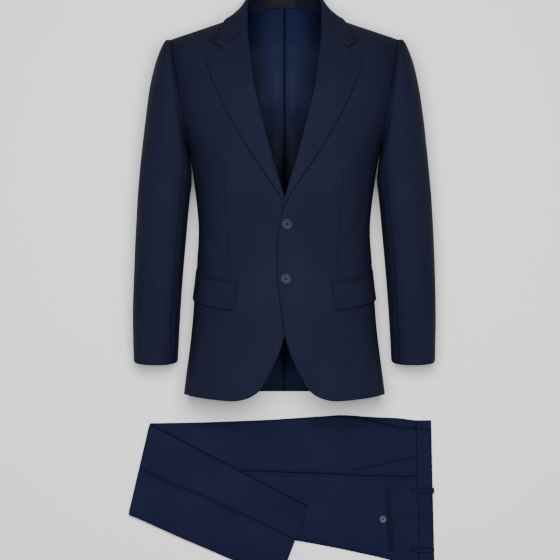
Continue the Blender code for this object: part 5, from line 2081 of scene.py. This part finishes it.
@dataclass
class Legs:
    """The four panels of the legs, each folded over at its pressed crease."""

    form: TrouserForm = TROUSERS
    wall: float = 1.2
    seam_gap: float = 0.5
    edge: float = 1.2
    thin: Pair = (2.2, 0.7)
    pillow: float = 11.0
    layer_gap: float = 0.15
    turned: float = 6.0
    crotch: Pair = (205.0, 300.0)
    inner_height: Pair = (2.45, 0.75)
    inner_limit: float = 1.6
    inner_reach: float = 40.0
    columns: tuple[int, ...] = (12, 7, 5, 24)
    seam_lines: Sequence[float] = (0.0, 1.0, 2.4, 4.2, 5.4, 6.6, 8.4)
    # painted shade: along the pressed creases (wider near the waist by lap_shade), at the near
    # front's step, as a faint line beside the outseam, and beside the seams (seam_shades)
    crease_shade: Pair = (0.6, 3.4)
    step_shade: Pair = (0.85, 3.2)
    lap_shade: Triple = (2.6, 100.0, 60.0)
    allowance_shade: Triple = (0.28, 5.4, 1.2)
    seam_shades: Pair = (0.62, 0.36)
    cell: float = 6.0
    fold_cell: float = 0.9
    creases: dict[Hand, Sequence[Crease]] = field(default_factory=lambda: {
        Hand.LEFT: (
            Crease((330, -20), (372, -190), 20, 0.7, 8), Crease((40, -180), (150, -150), 18, 0.5),
            Crease((120, -210), (210, -120), 22, -0.6, 9), Crease((60, -60), (200, -40), 17, 0.4)),
        Hand.RIGHT: (
            Crease((640, -60), (690, -100), 12, 1.0, 4),
            Crease((780, -40), (830, -150), 19, 0.7, -7),
            Crease((700, -150), (800, -140), 16, -0.6, 5),
            Crease((840, -90), (900, -60), 15, 0.5))})

    def __post_init__(self) -> None:
        """Work out the stations down the legs."""
        form = self.form
        after = form.fold.past(form.length / abs(form.away.x))
        self.stations = []
        for first, last, cell in ((form.waist_seam, form.fold, self.cell),
                                  (form.fold, after, self.fold_cell),
                                  (after, form.hem, self.cell)):
            count = round((last.front - first.front) / cell)
            self.stations += [first.toward(last, share) for share in even(count)[:-1]]
        self.stations[1:1] = [self.stations[0].past(distance) for distance in (1.0, 2.6)]
        self.stations.append(form.hem)

    def build(self) -> None:
        """Make the panels of both legs."""
        for hand in Hand:
            self.panel(hand, True).build()
            back = self.panel(hand, False).build()
            if hand is Hand.LEFT:
                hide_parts("trousers_inner_layers")

    def section(self, column: float, inner: float, outer: float, near: bool) -> Pair:
        """Lay out a column of a panel.

        Args:
            column: the column, from the inseam over the crease to the outseam.
            inner: distance from the crease to the panel's inner edge.
            outer: distance from the crease to the outseam.
            near: whether it is the upper leg.

        Returns:
            The distance from the crease, and the height of the cloth's outer face.
        """
        under, fold, pillow, rest = self.columns
        depth, thin = 2 * self.edge + self.layer_gap, self.thin[0 if near else 1]
        if column <= under:
            distance = mix(inner, self.edge, column / under)
            lift = self.inner_height[0 if near else 1] * smooth(distance / self.inner_reach)
            lift = depth + min(lift, self.inner_limit)
        elif column <= under + fold:
            angle = math.pi * (column - under) / fold
            distance = self.edge * (1 - math.sin(angle))
            lift = depth / 2 * (1 + math.cos(angle))
        else:
            close, lift = self.seam_lines, 0.0
            past, left = column - under - fold, round(sum(self.columns) - column)
            if past <= pillow:
                distance = mix(self.edge, self.pillow, past / pillow)
            elif left < len(close):
                distance = outer - close[left]
            else:
                distance = mix(self.pillow, outer - close[-1],
                               (past - pillow) / (rest - len(close) + 1))
        reach = min(1.0, max(0.0, (distance - self.edge) / (self.pillow - self.edge)))
        lift += thin * (1 - reach) ** 2
        return distance, self.form.stack - lift if near else lift

    def panel(self, hand: Hand, front: bool) -> Sheet:
        """One panel, from the waist seam to the hem.

        Args:
            hand: the leg's side; the left leg is the upper one.
            front: whether it is a front panel.

        Returns:
            The panel.
        """
        form, near = self.form, hand is Hand.LEFT
        total, last = sum(self.columns), len(self.stations) - 1

        def place(across: float, down: float) -> Spot:
            """Place a point of the grid."""
            station = self.stations[round(down * last)]
            first, end, width = form.line(station, near)
            share = form.outseam.at(station.front)
            reach = width * (share if front else 1 - share) - self.seam_gap / 2
            low, high = self.crotch
            inner = mix(self.turned, reach, smooth((station.front - low) / (high - low)))
            column = total * (across if front else 1 - across)
            distance, height = self.section(column, inner, reach, near)
            return form.spot(first.lerp(end, distance / width if front
                                        else 1 - distance / width), height)

        def mark(spot: Spot) -> float:
            """Painted shade along the pressed creases, at the near front's step and as a faint
            line beside the outseam.
            """
            crease, back = form.crease(spot.x, near), form.back.at(spot.x)
            strength, width = self.crease_shade
            if front and near:
                wider, start, length = self.lap_shade
                width += wider * (1 - smooth((spot.x - start) / length))
            dark = strength * (1 - abs(spot.y - (crease if front else back)) / width)
            if front and not near:
                strength, width = self.step_shade
                dark = max(dark, strength * (1 - abs(spot.y - form.near_front.at(spot.x)) / width))
            faint, off, width = self.allowance_shade
            aside = abs(spot.y - mix(crease, back, form.outseam.at(spot.x))) - off
            return max(0.0, dark, faint * math.exp(-(aside / width) ** 2))

        word = "front" if front else "back"
        return Sheet(
            f"leg_{hand}_{word}", f"trousers_{hand}_{word}", place, even(total), even(last),
            TROUSER_CLOTH, hand.value, self.wall, held="folded", wave=0.35,
            wave_size=(110.0, 187.0), seed=12.7 if near else 3.1, seam_depth=0.8,
            seam_width=2.8, sewn=(Edge.END if front else Edge.START) | Edge.TOP,
            creases=self.creases[hand], tied=10.0, seam_shade=self.seam_shades[0 if near else 1],
            top_share=0.6, mark=mark)


@dataclass
class Waist:
    """The waistband with its belt loops, and the pockets' mouths below it."""

    form: TrouserForm = TROUSERS
    wall: float = 2.2
    cloth: float = 1.2
    rise: float = 0.4
    band_length: float = 300.0
    band_depth: float = 30.0
    band_lines: Sequence[float] = field(default_factory=lambda: grid_lines(29, 4.0))
    turn: Pair = (0.6, 42.0)
    turn_length: float = 41.0
    turn_height: float = 3.6
    loop_span: Pair = (-3.5, 40.0)
    loop_ease: float = 12.0
    loop_width: float = 10.0
    loop_bow: Triple = (0.9, 0.08, 0.84)
    loops: Sequence[tuple[str, float]] = (("side", -137.5), ("back", -254.5))
    back_pocket: Sequence[Pair] = ((87.5, -134.0), (80.5, -255.0))
    back_welt: float = 4.9
    back_dart: Sequence[Pair] = ((32.5, -191.0), (80.0, -193.5))
    slant_pocket: Sequence[Pair] = ((157.0, -97.0), (33.5, -71.5))
    slant: Pair = (-1.2, 6.0)
    slant_melt: float = 1.7
    trim: float = 1.0
    tack_lift: float = 0.25
    tack_radius: float = 0.3
    button: Pair = (96.8, -194.0)
    button_radius: float = 7.0

    def build(self) -> None:
        """Make the waistband, its loops, the pockets' edges and the button."""
        form = self.form
        for hand in Hand:
            self.band(hand).build()
        self.band_end().build()
        for where, up in self.loops:
            self.loop(where, up).build()
            self.tacks(where, up)
        half, welt = form.seam_gap / 2, self.back_welt
        for name, low, high in (("upper", half, welt), ("lower", -welt, -half)):
            self.strip(f"welt_{name}", f"back_pocket_welt_{name}", self.back_pocket,
                       (low, high)).build()
        self.strip("slant_edge", "front_pocket_edge", self.slant_pocket, self.slant,
                   self.slant_melt).build()
        self.sewing()
        place = form.spot(Vector(self.button), form.stack).point
        Button("pocket_button", "back_pocket_button", place, Vector((0, 0, 1)),
               self.button_radius, PALE_HORN, 0.4).build()

    def band_line(self, down: float, near: bool) -> tuple[Vector, Vector, float]:
        """The line across the waistband at a share of its depth."""
        foot = self.form.waist_seam.past(-self.form.seam_gap)
        return self.form.line(self.form.waist.toward(foot, down), near)

    def band(self, hand: Hand) -> Sheet:
        """The waistband of one side.

        Args:
            hand: the side that it is on.

        Returns:
            The band.
        """
        form, near = self.form, hand is Hand.LEFT

        def place(across: float, down: float) -> Spot:
            """Place a point of the grid."""
            first, last, width = self.band_line(down, near)
            height = form.stack + self.rise if near else 0.0
            point = form.spot(first.lerp(last, across), height).point
            return Spot(point, across * width, down * self.band_depth)

        # the band's top and front-end rims and its sewn foot get painted shade, for the step's
        # shadow line
        return Sheet(
            f"band_{hand}", f"waistband_{hand}", place, grid_lines(self.band_length, 6.0),
            self.band_lines, TROUSER_CLOTH, hand.value, self.wall, held="folded", wave=0.25,
            seed=5.5, sewn=Edge.BOTTOM, seam_depth=0.5, seam_width=2.4, edge_round=0.8,
            tied=8.0, seam_shade=0.2, rim=Edge.TOP | Edge.START, rim_depth=0.3, rim_width=3.6,
            rim_shade=0.95)

    def band_end(self) -> Sheet:
        """The right waistband's front end, turned in past the left front.

        Returns:
            The end.
        """
        def place(across: float, down: float) -> Spot:
            """Place a point of the grid."""
            first, last, width = self.band_line(down, False)
            middle = first.lerp(last, mix(*self.turn, across) / width)
            point = self.form.spot(middle, self.turn_height).point
            return Spot(point, across * self.turn_length, down * self.band_depth)

        # the end's lower rim gets painted shade
        return Sheet(
            "band_right_end", "waistband_right_end", place, grid_lines(self.turn_length, 5.0),
            self.band_lines, TROUSER_CLOTH, 1, self.cloth, OUTWARD, "folded", ["band_right"],
            wave=0.3, seed=2.9, rim=Edge.BOTTOM, rim_depth=0.2)

    def loop_top(self, along: float) -> float:
        """Height of a belt loop's underside, which steps down off the band."""
        off_band = smooth((along - self.form.waist_seam.back) / self.loop_ease)
        return self.form.stack + self.rise * (1 - off_band) + self.form.seam_gap

    def loop(self, where: str, up: float) -> Sheet:
        """One belt loop, which bows a little off the band.

        Args:
            where: which loop it is.
            up: the place of its middle line.

        Returns:
            The loop.
        """
        length = self.loop_span[1] - self.loop_span[0]

        def place(across: float, down: float) -> Spot:
            """Place a point of the grid."""
            rise, start, span = self.loop_bow
            bow = rise * math.sin(math.pi * min(1.0, max(0.0, (down - start) / span))) ** 2
            middle = Vector((mix(*self.loop_span, down), up + self.loop_width * (0.5 - across)))
            point = self.form.spot(middle, self.loop_top(middle.x) + bow).point
            return Spot(point, across * self.loop_width, down * length)

        # the loop's rims get painted shade, for the shadow along its edges
        return Sheet(
            f"loop_{where}", f"belt_loop_{where}", place,
            grid_lines(self.loop_width, 2.2, close=(0.8,)), grid_lines(length, 2.5),
            TROUSER_CLOTH, 1, self.cloth, OUTWARD, "folded", ["band_left"], wave=0.1,
            edge_round=0.4, rim=Edge.AROUND, rim_depth=0.3, rim_width=1.7, rim_shade=0.9)

    def bar(self, middle: Vector, aside: Vector, count: int, along: Vector,
            height: float) -> list[list[Vector]]:
        """Middle lines of close threads, from one side of a bar tack's middle to the other."""
        return [[self.form.spot(middle + aside * (1 - 2 * share) + along * part, height).point
                 for part in (-1, 0, 1)] for share in even(count - 1)]

    def tacks(self, where: str, up: float) -> None:
        """Bar tacks across both ends of a belt loop.

        Args:
            where: which loop it is.
            up: the place of its middle line.
        """
        aside, runs = Vector((0.0, self.loop_width * 0.46)), []
        for along in (self.loop_span[0] + 3.0, self.loop_span[1] - 3.0):
            top = self.loop_top(along) + self.cloth + self.tack_lift
            runs += self.bar(Vector((along, up)), aside, 13, Vector((1.1, 0.22)), top)
        stitches(f"bar_tacks_{where}", runs, self.tack_radius, "trouser_cloth", DARK_THREAD)

    def sewing(self) -> None:
        """Sew the dart above the back pocket, and the tacks across the pocket's ends."""
        form, (start, end) = self.form, (Vector(place) for place in self.back_dart)
        line = [form.spot(start.lerp(end, share), form.stack + 0.05).point for share in even(24)]
        stitches("back_dart", [line], 0.5, "trouser_cloth", DARK_THREAD)
        first, last = (Vector(place) for place in self.back_pocket)
        along = (last - first).normalized()
        aside, runs = Vector((-along.y, along.x)) * self.back_welt, []
        top = form.stack + form.seam_gap + self.trim + self.tack_lift
        for middle in (first + along * 1.4, last - along * 1.4):
            runs += self.bar(middle, aside, 15, along, top)
        stitches("pocket_tacks", runs, self.tack_radius, "trouser_cloth", DARK_THREAD)

    def strip(self, name: str, node: str, line: Sequence[Pair], span: Pair,
              melt: float = 0.0) -> Sheet:
        """A straight strip of cloth on the left leg.

        Args:
            name: the piece's name.
            node: the node that it stands for.
            line: the two ends of its line.
            span: the distances from the line between which it lies.
            melt: how much its far side is sunk into the leg.

        Returns:
            The strip.
        """
        form, (low, high) = self.form, span
        first, last = (Vector(place) for place in line)
        length = (last - first).length
        aside = Vector(((last - first).y, -(last - first).x)) / length

        def place(across: float, down: float) -> Spot:
            """Place a point of the grid."""
            middle = first.lerp(last, across) + aside * mix(low, high, down)
            height = form.stack + form.seam_gap - melt * smooth(down * 1.3)
            return Spot(form.spot(middle, height).point, across * length, down * 6)

        # the strip's rims get painted shade, for the shadow of the pocket's mouth and of the
        # welts' edges
        return Sheet(
            name, node, place, grid_lines(length, 5.0),
            grid_lines(high - low, 1.6, close=(0.8,)), TROUSER_CLOTH, -1, self.trim, OUTWARD,
            "folded", ["leg_left_front"], wave=0.12, seed=1.9, edge_round=0.35, rim_depth=0.3,
            rim_width=2.8 if melt else 1.8, rim_shade=1.0,
            rim=Edge.TOP if melt else Edge.AROUND)


# ---- the studio
@dataclass
class Studio:
    """A pale floor, soft light from above, and the camera straight over the suit."""

    floor_size: float = 12.0
    floor_color: Color = (0.92, 0.92, 0.92)
    floor_rough: float = 0.9
    camera_place: Triple = (-0.0030, 0.0159, 4.0)
    lens: float = 130.9
    far: float = 50.0
    world: float = 0.2
    lights: Sequence[tuple[str, Triple, float, float]] = (
        ("overhead", (0.0, 0.3, 2.2), 0.9, 66.0), ("fill", (0.1, 0.2, 3.8), 2.6, 50.0))

    def build(self) -> None:
        """Make the floor, the lights and the camera."""
        data = bmesh.new()
        bmesh.ops.create_grid(data, x_segments=1, y_segments=1, size=self.floor_size / 2)
        floor = add_object("floor", data)
        material = bpy.data.materials.new("studio_floor")
        material.use_nodes = True
        shader = material.node_tree.nodes["Principled BSDF"]
        shader.inputs["Base Color"].default_value = (*self.floor_color, 1.0)
        shader.inputs["Roughness"].default_value = self.floor_rough
        floor.data.materials.append(material)
        for name, place, size, power in self.lights:
            lamp = bpy.data.lights.new(name, "AREA")
            lamp.size, lamp.energy = size, power
            thing = self.place(name, lamp, place)
            thing.rotation_euler = (-Vector(place)).to_track_quat("-Z", "Y").to_euler()
            thing.visible_camera = False
        world = bpy.data.worlds.new("studio")
        world.use_nodes = True
        sky = world.node_tree.nodes["Background"]
        sky.inputs["Color"].default_value = (1.0, 1.0, 1.0, 1.0)
        sky.inputs["Strength"].default_value = self.world
        bpy.context.scene.world = world
        lens = bpy.data.cameras.new("camera")
        lens.lens, lens.sensor_width, lens.clip_end = self.lens, 36.0, self.far
        bpy.context.scene.camera = self.place("camera", lens, self.camera_place)

    @staticmethod
    def place(name: str, data: bpy.types.ID, place: Triple) -> bpy.types.Object:
        """Put a light or the camera in its place.

        Args:
            name: its name.
            data: the light or the camera.
            place: where it goes.

        Returns:
            Its object.
        """
        thing = bpy.data.objects.new(name, data)
        thing.location = place
        bpy.context.scene.collection.objects.link(thing)
        return thing


def main() -> None:
    """Build the suit's looks round its solids."""
    logging.basicConfig(level=logging.INFO, format="%(message)s")
    for thing in list(bpy.data.objects):
        bpy.data.objects.remove(thing, do_unlink=True)
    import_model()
    body, collar = JacketBody(), CollarAndLapels()
    for part in (body, Lining(body), Sleeves(), collar, JacketPockets(body, collar),
                 JacketTrim(FORM, collar), Legs(), Waist(), Studio()):
        LOG.info("-- %s", type(part).__name__)
        part.build()


if __name__ == "__main__":
    main()
